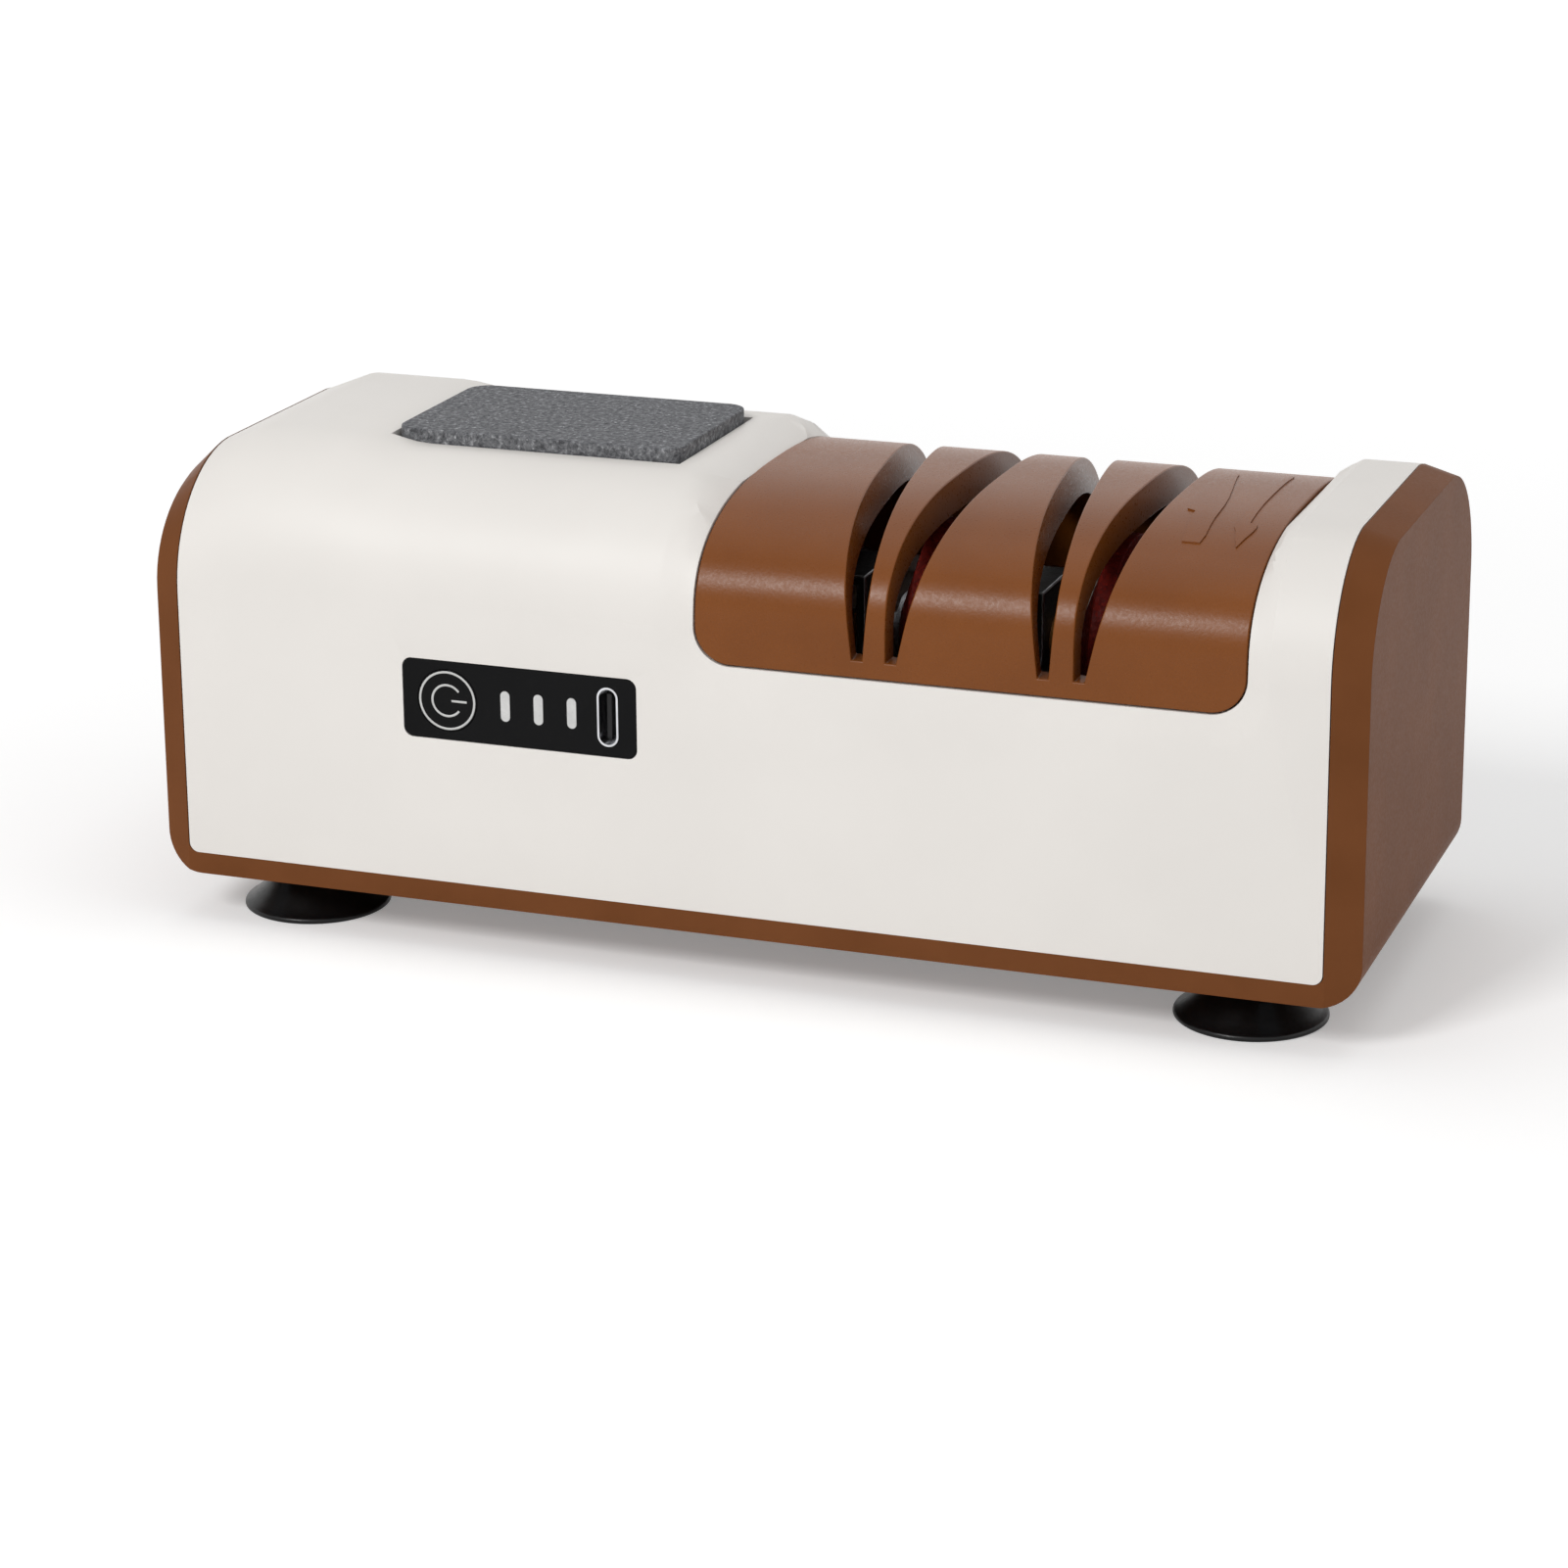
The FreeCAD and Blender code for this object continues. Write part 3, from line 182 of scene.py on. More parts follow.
# %% Metals, board and wrap
turned_steel = finish("turned steel", chart(190, 191, 194), chart(165, 166, 170), 0.004, 0.0004,
                      0.000006, (0.25, 0.4), metal=1.0, stretch=(4, 1, 1))
pressed_steel = finish("pressed steel", chart(186, 187, 189), chart(158, 159, 162), 0.006,
                       0.0006, 0.000008, (0.3, 0.45), metal=1.0, stretch=(1, 5, 1))
plated_port = finish("plated port", chart(214, 215, 218), chart(196, 197, 200), 0.003, 0.0003,
                     0.000002, (0.16, 0.26), metal=1.0)
turned_brass = finish("turned brass", chart(206, 170, 96), chart(184, 148, 80), 0.004, 0.0004,
                      0.000005, (0.25, 0.38), metal=1.0, stretch=(4, 1, 1))
sintered_bronze = finish("sintered bronze", chart(168, 122, 74), chart(140, 98, 58), 0.001,
                         0.0003, 0.00002, (0.45, 0.6), metal=1.0)
dark_magnet = finish("dark magnet", chart(58, 58, 62), chart(42, 42, 46), 0.002, 0.0004,
                     0.00001, (0.55, 0.7))
board_green = finish("board green", chart(28, 92, 52), chart(18, 74, 40), 0.004, 0.0006,
                     0.00001, (0.3, 0.42))
cell_wrap = finish("cell wrap", chart(44, 96, 150), chart(36, 84, 138), 0.01, 0.0008, 0.00001,
                   (0.22, 0.32))

# %% [markdown]
# ## Whetstone
#
# A bonded stone is grit in a binder: dark and pale specks of about half a millimetre, with a
# few bright chips where grains were torn out. A fine noise makes the grit, a second noise
# bends it so that it looks broken, and small cells pick out the few pale chips. Real grains
# stand up, so the grit also drives the bump.

# %% Speckled stone
stone_grey = bpy.data.materials.new("speckled stone")
stone_grey.use_nodes = True
tree = stone_grey.node_tree
shader = tree.nodes["Principled BSDF"]
place = tree.nodes.new("ShaderNodeTexCoord")
bend = add(tree, "ShaderNodeTexNoise", Scale=900.0, Detail=3.0)
tree.links.new(place.outputs["Object"], bend.inputs["Vector"])
shift = tree.nodes.new("ShaderNodeVectorMath")
shift.operation = "SCALE"
shift.inputs["Scale"].default_value = 0.0011
tree.links.new(bend.outputs["Color"], shift.inputs[0])
bent = tree.nodes.new("ShaderNodeVectorMath")
bent.operation = "ADD"
tree.links.new(place.outputs["Object"], bent.inputs[0])
tree.links.new(shift.outputs["Vector"], bent.inputs[1])
grit = add(tree, "ShaderNodeTexNoise", Scale=1300.0, Detail=4.0, Roughness=0.75)
tree.links.new(bent.outputs["Vector"], grit.inputs["Vector"])
body_colour = ramp_between(tree, grit.outputs["Fac"], [
    (0.32, chart(60, 60, 63)), (0.45, chart(92, 93, 96)), (0.56, chart(118, 119, 122)),
    (0.70, chart(166, 167, 170))])
fleck = add(tree, "ShaderNodeTexVoronoi", Scale=620.0, Randomness=1.0)
tree.links.new(bent.outputs["Vector"], fleck.inputs["Vector"])
few = add(tree, "ShaderNodeMapRange", From_Min=0.06, From_Max=0.16, To_Min=1.0, To_Max=0.0)
tree.links.new(fleck.outputs["Distance"], few.inputs["Value"])
flecked = tree.nodes.new("ShaderNodeMix")
flecked.data_type = "RGBA"
tree.links.new(few.outputs["Result"], flecked.inputs["Factor"])
tree.links.new(body_colour, flecked.inputs[6])
flecked.inputs[7].default_value = chart(176, 177, 180)
tree.links.new(flecked.outputs[2], shader.inputs["Base Color"])
bump = add(tree, "ShaderNodeBump", Strength=0.7, Distance=0.00012)
tree.links.new(grit.outputs["Fac"], bump.inputs["Height"])
tree.links.new(bump.outputs["Normal"], shader.inputs["Normal"])
shader.inputs["Roughness"].default_value = 0.8
shader.inputs["Specular IOR Level"].default_value = 0.3
print("finish:", stone_grey.name)

# %% [markdown]
# ## Grinding wheels
#
# The wheels are a dark red abrasive. Only a strip of each rim shows, deep in a slot, so the
# grains are kept quiet: cells of random brightness give each grain its own red and its own
# roughness.

# %% Red abrasive
abrasive_red = bpy.data.materials.new("red abrasive")
abrasive_red.use_nodes = True
tree = abrasive_red.node_tree
shader = tree.nodes["Principled BSDF"]
place = tree.nodes.new("ShaderNodeTexCoord")
grains = add(tree, "ShaderNodeTexVoronoi", Scale=1900.0, Randomness=1.0)
tree.links.new(place.outputs["Object"], grains.inputs["Vector"])
single = tree.nodes.new("ShaderNodeSeparateColor")
tree.links.new(grains.outputs["Color"], single.inputs["Color"])
reds = ramp_between(tree, single.outputs["Red"], [
    (0.0, chart(88, 14, 9)), (0.6, chart(112, 21, 12)), (0.96, chart(128, 28, 17)),
    (1.0, chart(150, 52, 36))])
tree.links.new(reds, shader.inputs["Base Color"])
spark = add(tree, "ShaderNodeMapRange", To_Min=0.5, To_Max=0.8)
tree.links.new(single.outputs["Green"], spark.inputs["Value"])
tree.links.new(spark.outputs["Result"], shader.inputs["Roughness"])
bump = add(tree, "ShaderNodeBump", Strength=0.6, Distance=0.00004)
tree.links.new(grains.outputs["Distance"], bump.inputs["Height"])
tree.links.new(bump.outputs["Normal"], shader.inputs["Normal"])
shader.inputs["Specular IOR Level"].default_value = 0.15
print("finish:", abrasive_red.name)

# %% [markdown]
# ## Each piece gets its finish
#
# A piece whose shape is right already only needs its material slot filled.

# %% Fill the material slots
finishes = {
    "base_frame": frame_brown, "casing_shell": casing_white, "guide_left": grained_brown,
    "guide_rib_one": grained_brown, "guide_middle": grained_brown,
    "guide_rib_two": grained_brown, "guide_right": grained_brown, "whetstone": stone_grey,
    "stone_pad": foot_rubber, "control_panel": panel_black, "led_light_guide": milky_light,
    "power_button": panel_black, "switch_stem": black_and_painted_shade, "tact_switch": pressed_steel,
    "usb_shell": plated_port, "usb_tongue": black_and_painted_shade, "main_board": board_green,
    "motor_can": pressed_steel, "motor_magnets": dark_magnet, "motor_end_cap": black_and_painted_shade,
    "motor_rotor": turned_steel, "motor_terminals": turned_brass, "power_carrier": black_and_painted_shade,
    "battery_cell_front": cell_wrap, "battery_cell_back": cell_wrap,
    "motor_strap": pressed_steel, "shaft_coupling": turned_brass, "wheel_shaft": turned_steel,
    "wheel_one": abrasive_red, "wheel_two": abrasive_red, "wheel_hub_one": turned_steel,
    # The three bearing brackets take the black as painted shade over their steel.
    "wheel_hub_two": turned_steel, "bearing_bracket_one": black_and_painted_shade,
    "bearing_bracket_two": black_and_painted_shade, "bearing_bracket_three": black_and_painted_shade,
    "bearing_bush_one": sintered_bronze, "bearing_bush_two": sintered_bronze,
    "bearing_bush_three": sintered_bronze, "suction_foot_front_left": foot_rubber,
    "suction_foot_front_right": foot_rubber, "suction_foot_back_left": foot_rubber,
    "suction_foot_back_right": foot_rubber, "foot_screws": turned_steel,
    "cover_screws": turned_steel,
}


def dress(piece, material):
    piece.data.materials.clear()
    piece.data.materials.append(material)


def placed(name, mesh):
    piece = bpy.data.objects.new(name, mesh)
    bpy.context.scene.collection.objects.link(piece)
    return piece


def facing_out(mesh, merge=0.0):
    # Turns every face outwards, after points that lie together are merged.
    work = bmesh.new()
    work.from_mesh(mesh)
    if merge:
        bmesh.ops.remove_doubles(work, verts=work.verts, dist=merge)
    bmesh.ops.recalc_face_normals(work, faces=work.faces)
    work.to_mesh(mesh)
    work.free()


def smooth(mesh, angle):
    mesh.shade_smooth()
    mesh.set_sharp_from_angle(angle=math.radians(angle))


def joined_flats(mesh, angle, reshape=None):
    # Merges loose corners, joins flat areas and, if asked, moves the corners.
    work = bmesh.new()
    work.from_mesh(mesh)
    bmesh.ops.remove_doubles(work, verts=work.verts, dist=0.000002)
    bmesh.ops.dissolve_limit(work, angle_limit=math.radians(angle), verts=work.verts,
                             edges=work.edges)
    if reshape:
        for corner in work.verts:
            reshape(corner.co)
    work.to_mesh(mesh)
    work.free()


def soft_bevel(piece, width, angle, segments):
    bevel = piece.modifiers.new("soft edges", "BEVEL")
    bevel.width = width
    bevel.segments = segments
    bevel.limit_method = "ANGLE"
    bevel.angle_limit = math.radians(angle)
    bevel.harden_normals = True
    return bevel


for name, material in finishes.items():
    dress(nodes[name], material)
print("pieces with a finish:", len(finishes), "of", len(nodes))

# %% [markdown]
# ## Soft edges
#
# No moulded edge is truly sharp, and the thin line of light along a rounded edge is what
# makes plastic look real. The model's mesh is loose triangles, so a copy is merged, its
# flat areas are joined, and a small Bevel rounds the edges that turn by more than a set
# angle. The copy then stands for the piece.


# %% A helper that softens a piece
def softened(name, width, angle=28.0, reshape=None):
    mesh = nodes[name].data.copy()
    joined_flats(mesh, 0.4, reshape)
    if mesh.has_custom_normals:
        mesh.normals_split_custom_set([(0, 0, 0)] * len(mesh.loops))
    piece = placed(name + "_moulded", mesh)
    smooth(mesh, angle)
    soft_bevel(piece, width, angle, 3).miter_outer = "MITER_ARC"
    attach(piece, nodes[name]["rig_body"])
    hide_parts(name)
    print("softened", name, "faces", len(mesh.polygons))
    return piece


# %% [markdown]
# ## Cross section of the slot guide
#
# The guide is one moulding with a cross section that never turns sharply: upright at the
# front, flattest on top. A superellipse is such a curve, and one power sets how square it
# looks. The same curve, smaller, is the inside, which leaves a thick roof over the wheels.

# %% The rounded cross section
MM = 0.001
GUIDE = {"left": -5.8, "right": 74.8, "low": 48.3, "spring": 53.5, "half": 34.4,
         "rise": 17.0, "corner": 5.2}
HOLLOW = {"low": 40.0, "half": 30.6, "rise": 11.4, "end_wall": 3.0}
SQUARENESS = 2.6


def arch_height(y, half, spring, rise):
    share = min(abs(y) / half, 1.0) ** SQUARENESS
    return spring + rise * (1.0 - share) ** (1.0 / SQUARENESS)


def arch_outline(half, low, spring, rise, steps=56):
    points = [(-half, low)]
    for step in range(steps + 1):
        angle = math.pi * step / steps
        along, up = math.cos(angle), math.sin(angle)
        y = -half * math.copysign(abs(along) ** (2.0 / SQUARENESS), along)
        points.append((y, spring + rise * abs(up) ** (2.0 / SQUARENESS)))
    return points + [(half, low)]


print("guide top in mm:", arch_height(0, GUIDE["half"], GUIDE["spring"], GUIDE["rise"]))


# %% Prisms to carve with
def prism(name, outline, start, end, axis):
    # outline is drawn in YZ for axis x, XZ for axis y and XY for axis z, in millimetres.
    def spot(a, b, c):
        order = {"x": (c, a, b), "y": (a, c, b), "z": (a, b, c)}[axis]
        return tuple(v * MM for v in order)

    count = len(outline)
    corners = [spot(a, b, end_at) for end_at in (start, end) for a, b in outline]
    faces = [tuple(range(count)), tuple(range(2 * count - 1, count - 1, -1))]
    faces += [(i, i + count, (i + 1) % count + count, (i + 1) % count) for i in range(count)]
    mesh = bpy.data.meshes.new(name)
    mesh.from_pydata(corners, [], faces)
    facing_out(mesh, 0.000001)
    return placed(name, mesh)


def carve(piece, tool, how):
    step = piece.modifiers.new(how, "BOOLEAN")
    step.operation = how
    step.solver = "EXACT"
    step.object = tool


def baked(piece):
    # Turns the carved shape into a plain mesh.
    bpy.context.view_layer.update()
    graph = bpy.context.evaluated_depsgraph_get()
    mesh = bpy.data.meshes.new_from_object(piece.evaluated_get(graph))
    piece.modifiers.clear()
    piece.data = mesh
    return piece


# %% [markdown]
# ## Slot guide
#
# In the model the guide is parted at the feet of the four slots, so that a blade can pass.
# On the real object it is one moulding, so one piece stands for all five. It is built the
# way a toolmaker would think of it: a full arch, minus its hollow, minus four leaning
# wedges for the knife slots, and its lower corners rounded off.

# %% Carve the guide
guide = prism("slot_guide", arch_outline(GUIDE["half"], GUIDE["low"], GUIDE["spring"],
                                         GUIDE["rise"]), GUIDE["left"], GUIDE["right"], "x")
hollow = prism("hollow", arch_outline(HOLLOW["half"], HOLLOW["low"], GUIDE["spring"],
                                      HOLLOW["rise"]),
               GUIDE["left"] + HOLLOW["end_wall"], GUIDE["right"] - HOLLOW["end_wall"], "x")
cutters = [hollow]
carve(guide, hollow, "DIFFERENCE")
# Each slot: foot along X, lean of its left and right walls, turn about Z in degrees.
slots = [(18.6, 0.11, 0.08, 7.7), (23.6, 0.0, 0.22, -0.6), (45.9, 0.11, 0.08, 7.7),
         (51.1, 0.0, 0.22, -0.6)]
SLOT_HALF, SLOT_FLOOR, SLOT_RISE = 0.8, 50.8, 23.0
for number, (foot, lean_left, lean_right, turn) in enumerate(slots):
    wedge = prism("wedge_%d" % number, [
        (-SLOT_HALF, 0.0), (SLOT_HALF, 0.0), (SLOT_HALF + lean_right * SLOT_RISE, SLOT_RISE),
        (-SLOT_HALF - lean_left * SLOT_RISE, SLOT_RISE)], -5.0, 80.0, "y")
    swing = Matrix.Rotation(math.radians(turn), 4, "Z")
    foot_place = Vector((foot, -GUIDE["half"], SLOT_FLOOR)) * MM
    wedge.data.transform(Matrix.Translation(foot_place) @ swing)
    cutters.append(wedge)
    carve(guide, wedge, "DIFFERENCE")
bowl = []
for middle, first, last in ((GUIDE["right"] - GUIDE["corner"], 270, 360),
                            (GUIDE["left"] + GUIDE["corner"], 180, 270)):
    arc = [(middle + GUIDE["corner"] * math.cos(math.radians(first + (last - first) * k / 12)),
            GUIDE["low"] + GUIDE["corner"]
            + GUIDE["corner"] * math.sin(math.radians(first + (last - first) * k / 12)))
           for k in range(13)]
    bowl += arc if first == 270 else [(GUIDE["right"], 90.0), (GUIDE["left"], 90.0)] + arc
mould = prism("mould", bowl, -40.0, 40.0, "y")
cutters.append(mould)
carve(guide, mould, "INTERSECT")
baked(guide)
for tool in cutters:
    bpy.data.objects.remove(tool)
print("guide faces:", len(guide.data.polygons))


# %% Round its edges
def rounded_edges(piece, width, angle, segments=3):
    joined_flats(piece.data, 0.3)
    smooth(piece.data, angle)
    soft_bevel(piece, width, angle, segments)


rounded_edges(guide, 0.00035, 32.0)
dress(guide, grained_brown)
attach(guide, "body")
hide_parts("guide_left", "guide_rib_one", "guide_middle", "guide_rib_two", "guide_right")
print("guide stands for five pieces of the model")

# %% [markdown]
# ## Relief on the guide
#
# Two raised shapes on the right end of the guide show how to draw the knife: a knife and an
# arrow towards the user. Each is a strip from front to back that lies on the curve of the
# guide, so it is drawn as pairs of left and right edges along Y and lifted a little.

# %% Knife and arrow
knife = [(-21.2, 61.9, 64.5), (-19.0, 61.75, 64.75), (-16.0, 61.4, 64.6), (-13.0, 61.1, 64.5),
         (-10.8, 61.1, 64.5), (-10.2, 59.8, 64.5), (-7.0, 59.85, 64.4), (-3.0, 59.9, 64.0),
         (1.0, 60.0, 63.4), (4.0, 60.05, 62.9), (7.0, 60.3, 62.4), (9.5, 60.9, 62.0),
         (11.0, 61.5, 61.9)]
arrow = [(-21.5, 69.7, 69.8), (-19.0, 69.0, 70.4), (-17.0, 68.5, 70.9), (-15.6, 68.0, 71.1),
         (-14.4, 67.9, 71.0), (-13.9, 68.2, 69.8), (-10.0, 68.1, 69.7), (-5.0, 68.15, 69.6),
         (0.0, 68.3, 69.6), (5.0, 68.5, 69.6), (9.0, 68.7, 69.6), (13.0, 69.0, 69.6)]


def on_guide(y):
    return arch_height(y, GUIDE["half"], GUIDE["spring"], GUIDE["rise"])


def relief(name, rows, lift=0.22, root=0.5):
    corners = []
    for y, first, last in rows:
        for x, up in ((first, -root), (first, lift), (last, lift), (last, -root)):
            corners.append((x * MM, y * MM, (on_guide(y) + up) * MM))
    faces = []
    for row in range(len(rows) - 1):
        a, b = 4 * row, 4 * row + 4
        faces += [(a, a + 1, b + 1, b), (a + 1, a + 2, b + 2, b + 1),
                  (a + 2, a + 3, b + 3, b + 2), (a + 3, a, b, b + 3)]
    faces += [(0, 3, 2, 1), tuple(4 * (len(rows) - 1) + k for k in range(4))]
    mesh = bpy.data.meshes.new(name)
    mesh.from_pydata(corners, [], faces)
    facing_out(mesh)
    smooth(mesh, 30.0)
    piece = placed(name, mesh)
    dress(piece, grained_brown)
    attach(piece, "body")
    print("relief", name, "faces", len(mesh.polygons))


relief("relief_knife", knife)
relief("relief_arrow", arrow)

# %% [markdown]
# ## Casing, frame and the small pieces
#
# The rest keeps the model's shape and only gets soft edges, with two small changes: the
# recess of the casing takes up the guide's curve, and the top of the left end cap falls away
# a little more towards the outside, as the photograph shows it.


# %% Follow the guide
# The model's own section: flat on top, then a quarter circle down to the front.
ARCH = {"flat": 13.7, "top": 70.1, "centre": 17.394, "radius": 17.006}
CAP = {"outside": -91.5, "from": 52.0, "over": 16.0, "fall": 2.3}


def model_arch(y):
    across = min(abs(y), GUIDE["half"])
    if across < ARCH["flat"]:
        return ARCH["top"]
    down = max(ARCH["radius"] ** 2 - (across - ARCH["centre"]) ** 2, 0.0)
    return GUIDE["spring"] + math.sqrt(down)


def recess(place):
    x, y, z = (v / MM for v in place)
    near = min(abs(x - GUIDE["left"]), abs(x - GUIDE["right"])) < 0.4
    if near and z > 54.5 and abs(z - model_arch(y)) < 0.45:
        place.z += (on_guide(y) - model_arch(y)) * MM


def falling_cap(place):
    x, y, z = (v / MM for v in place)
    if x < CAP["outside"] and z > CAP["from"]:
        place.z -= CAP["fall"] * min((z - CAP["from"]) / CAP["over"], 1.0) * MM


# %% Soften the mouldings
softened("casing_shell", 0.0004, reshape=recess)
softened("base_frame", 0.0005, reshape=falling_cap)
softened("control_panel", 0.00012)
softened("power_button", 0.00012)
for corner in ("front_left", "front_right", "back_left", "back_right"):
    softened("suction_foot_" + corner, 0.0003, angle=35.0)

# %% [markdown]
# ## Brackets and wheels in the slots
#
# Slots one and three show a steel bearing bracket deep in shade, its lip catching the light.
# Slots two and four show the rim of a wheel with darkness above it. Lowering the brackets' tops
# and making the wheels a little smaller comes nearer to that; both amounts were judged. The
# brackets' black finish is painted shade over their steel, and the bevel's own material slot
# keeps the steel along their lip.

# %% Fit them to the slots
BRACKET_DROP = 0.0028
LIP_DEPTH = 0.002
WHEEL_SHRINK = 0.93


def shorter_bracket(place):
    if place.z > bracket_top - LIP_DEPTH:
        place.z -= BRACKET_DROP


def smaller_wheel(place):
    place.y = wheel_axis.y + (place.y - wheel_axis.y) * WHEEL_SHRINK
    place.z = wheel_axis.z + (place.z - wheel_axis.z) * WHEEL_SHRINK


for number in ("one", "two"):
    bracket_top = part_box("bearing_bracket_" + number)[1].z
    plate = softened("bearing_bracket_" + number, 0.0003, reshape=shorter_bracket)
    # The body keeps the black of painted shade; the bevel's slot puts the bracket's own steel
    # on its lip.
    plate.data.materials.append(pressed_steel)
    plate.modifiers["soft edges"].material = 1
    low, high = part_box("wheel_" + number)
    wheel_axis = (Vector(low) + Vector(high)) / 2
    softened("wheel_" + number, 0.00015, reshape=smaller_wheel)

# %% [markdown]
# ## Whetstone block
#
# The stone is a plain slab, sawn with crisp edges, whose upright corners are well rounded so
# that it drops into its bed easily. A rounded rectangle pulled upwards is all it takes.


# %% Rounded slab
def rounded_rectangle(low, high, corner, steps=10):
    points = []
    for x, y, first in ((high[0], high[1], 0), (low[0], high[1], 90), (low[0], low[1], 180),
                        (high[0], low[1], 270)):
        middle_x = x - math.copysign(corner, x - (low[0] + high[0]) / 2)
        middle_y = y - math.copysign(corner, y - (low[1] + high[1]) / 2)
        for step in range(steps + 1):
            angle = math.radians(first + 90 * step / steps)
            points.append((middle_x + corner * math.cos(angle),
                           middle_y + corner * math.sin(angle)))
    return points


STONE_CORNER = 3.4
low, high = (Vector(v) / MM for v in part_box("whetstone"))
slab = prism("whetstone_slab", rounded_rectangle(low, high, STONE_CORNER), low.z, high.z, "z")
rounded_edges(slab, 0.00022, 40.0, 2)
dress(slab, stone_grey)
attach(slab, nodes["whetstone"]["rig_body"])
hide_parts("whetstone")
print("stone in mm:", [round(v, 1) for v in high - low])

# %% [markdown]
# ## Screws
#
# Four screws hold the feet and four hold the casing. All eight are the same thing: a head
# with a cross recess and a plain shank. One Geometry Nodes tree makes the screw and puts it
# on every point that it is given, so the sizes are named inputs and not drawn eight times.


# %% A tree for cross screws
def screw_tree():
    tree = bpy.data.node_groups.new("cross screw", "GeometryNodeTree")
    face = tree.interface
    face.new_socket("Geometry", in_out="INPUT", socket_type="NodeSocketGeometry")
    names = {}
    for title in ("Head Radius", "Head Height", "Shank Radius", "Shank Length"):
        names[title] = face.new_socket(title, in_out="INPUT",
                                       socket_type="NodeSocketFloat").identifier
    names["Turn"] = face.new_socket("Turn", in_out="INPUT",
                                    socket_type="NodeSocketVector").identifier
    names["Finish"] = face.new_socket("Finish", in_out="INPUT",
                                      socket_type="NodeSocketMaterial").identifier
    face.new_socket("Geometry", in_out="OUTPUT", socket_type="NodeSocketGeometry")
    start = tree.nodes.new("NodeGroupInput")
    end = tree.nodes.new("NodeGroupOutput")
    link = tree.links.new

    def times(source, factor):
        node = tree.nodes.new("ShaderNodeMath")
        node.operation = "MULTIPLY"
        link(source, node.inputs[0])
        node.inputs[1].default_value = factor
        return node.outputs["Value"]

    def shifted(geometry, height):
        spot = tree.nodes.new("ShaderNodeCombineXYZ")
        link(height, spot.inputs["Z"])
        move = tree.nodes.new("GeometryNodeTransform")
        link(geometry, move.inputs["Geometry"])
        link(spot.outputs["Vector"], move.inputs["Translation"])
        return move.outputs["Geometry"]

    head = tree.nodes.new("GeometryNodeMeshCone")
    head.inputs["Vertices"].default_value = 40
    link(times(start.outputs["Head Radius"], 0.86), head.inputs["Radius Top"])
    link(start.outputs["Head Radius"], head.inputs["Radius Bottom"])
    link(start.outputs["Head Height"], head.inputs["Depth"])
    shank = tree.nodes.new("GeometryNodeMeshCylinder")
    shank.inputs["Vertices"].default_value = 24
    link(start.outputs["Shank Radius"], shank.inputs["Radius"])
    link(start.outputs["Shank Length"], shank.inputs["Depth"])
    cut = tree.nodes.new("GeometryNodeMeshBoolean")
    cut.operation = "DIFFERENCE"
    link(shifted(head.outputs["Mesh"], times(start.outputs["Head Height"], -1.0)),
         cut.inputs["Mesh 1"])
    for wide, deep in ((1.15, 0.24), (0.24, 1.15)):
        size = tree.nodes.new("ShaderNodeCombineXYZ")
        link(times(start.outputs["Head Radius"], wide), size.inputs["X"])
        link(times(start.outputs["Head Radius"], deep), size.inputs["Y"])
        link(times(start.outputs["Head Height"], 1.3), size.inputs["Z"])
        bar = tree.nodes.new("GeometryNodeMeshCube")
        link(size.outputs["Vector"], bar.inputs["Size"])
        link(bar.outputs["Mesh"], cut.inputs["Mesh 2"])
    drop = tree.nodes.new("ShaderNodeMath")
    drop.operation = "ADD"
    link(times(start.outputs["Head Height"], -1.0), drop.inputs[0])
    link(times(start.outputs["Shank Length"], -0.5), drop.inputs[1])
    join = tree.nodes.new("GeometryNodeJoinGeometry")
    link(cut.outputs["Mesh"], join.inputs["Geometry"])
    link(shifted(shank.outputs["Mesh"], drop.outputs["Value"]), join.inputs["Geometry"])
    place = tree.nodes.new("GeometryNodeInstanceOnPoints")
    link(start.outputs["Geometry"], place.inputs["Points"])
    link(join.outputs["Geometry"], place.inputs["Instance"])
    link(start.outputs["Turn"], place.inputs["Rotation"])
    real = tree.nodes.new("GeometryNodeRealizeInstances")
    paint = tree.nodes.new("GeometryNodeSetMaterial")
    link(place.outputs["Instances"], real.inputs["Geometry"])
    link(real.outputs["Geometry"], paint.inputs["Geometry"])
    link(start.outputs["Finish"], paint.inputs["Material"])
    link(paint.outputs["Geometry"], end.inputs["Geometry"])
    return tree, names


cross_screw, screw_inputs = screw_tree()
print("tree:", cross_screw.name, list(screw_inputs))


# %% Put the screws in
def screws(name, head_height, shank_radius, head_down):
    corners = {}
    for vertex in nodes[name].data.vertices:
        corners.setdefault((vertex.co.x > 0, vertex.co.y > 0), []).append(vertex.co)
    spots = []
    for group in corners.values():
        low = Vector([min(v[i] for v in group) for i in range(3)])
        high = Vector([max(v[i] for v in group) for i in range(3)])
        spots.append(((low.x + high.x) / 2, (low.y + high.y) / 2,
                      low.z if head_down else high.z))
    mesh = bpy.data.meshes.new(name + "_cross")
    mesh.from_pydata(spots, [], [])
    piece = placed(name + "_cross", mesh)
    made = piece.modifiers.new("screws", "NODES")
    made.node_group = cross_screw
    values = {"Head Radius": (high.x - low.x) / 2, "Head Height": head_height * MM,
              "Shank Radius": shank_radius * MM,
              "Shank Length": high.z - low.z - head_height * MM,
              "Turn": (math.pi if head_down else 0.0, 0.0, 0.0), "Finish": turned_steel}
    for title, value in values.items():
        made[screw_inputs[title]] = value
    baked(piece)
    smooth(piece.data, 35.0)
    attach(piece, nodes[name]["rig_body"])
    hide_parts(name)
    print("screws", name, len(spots), "faces", len(piece.data.polygons))


screws("foot_screws", 1.6, 1.3, False)
screws("cover_screws", 1.4, 1.45, True)

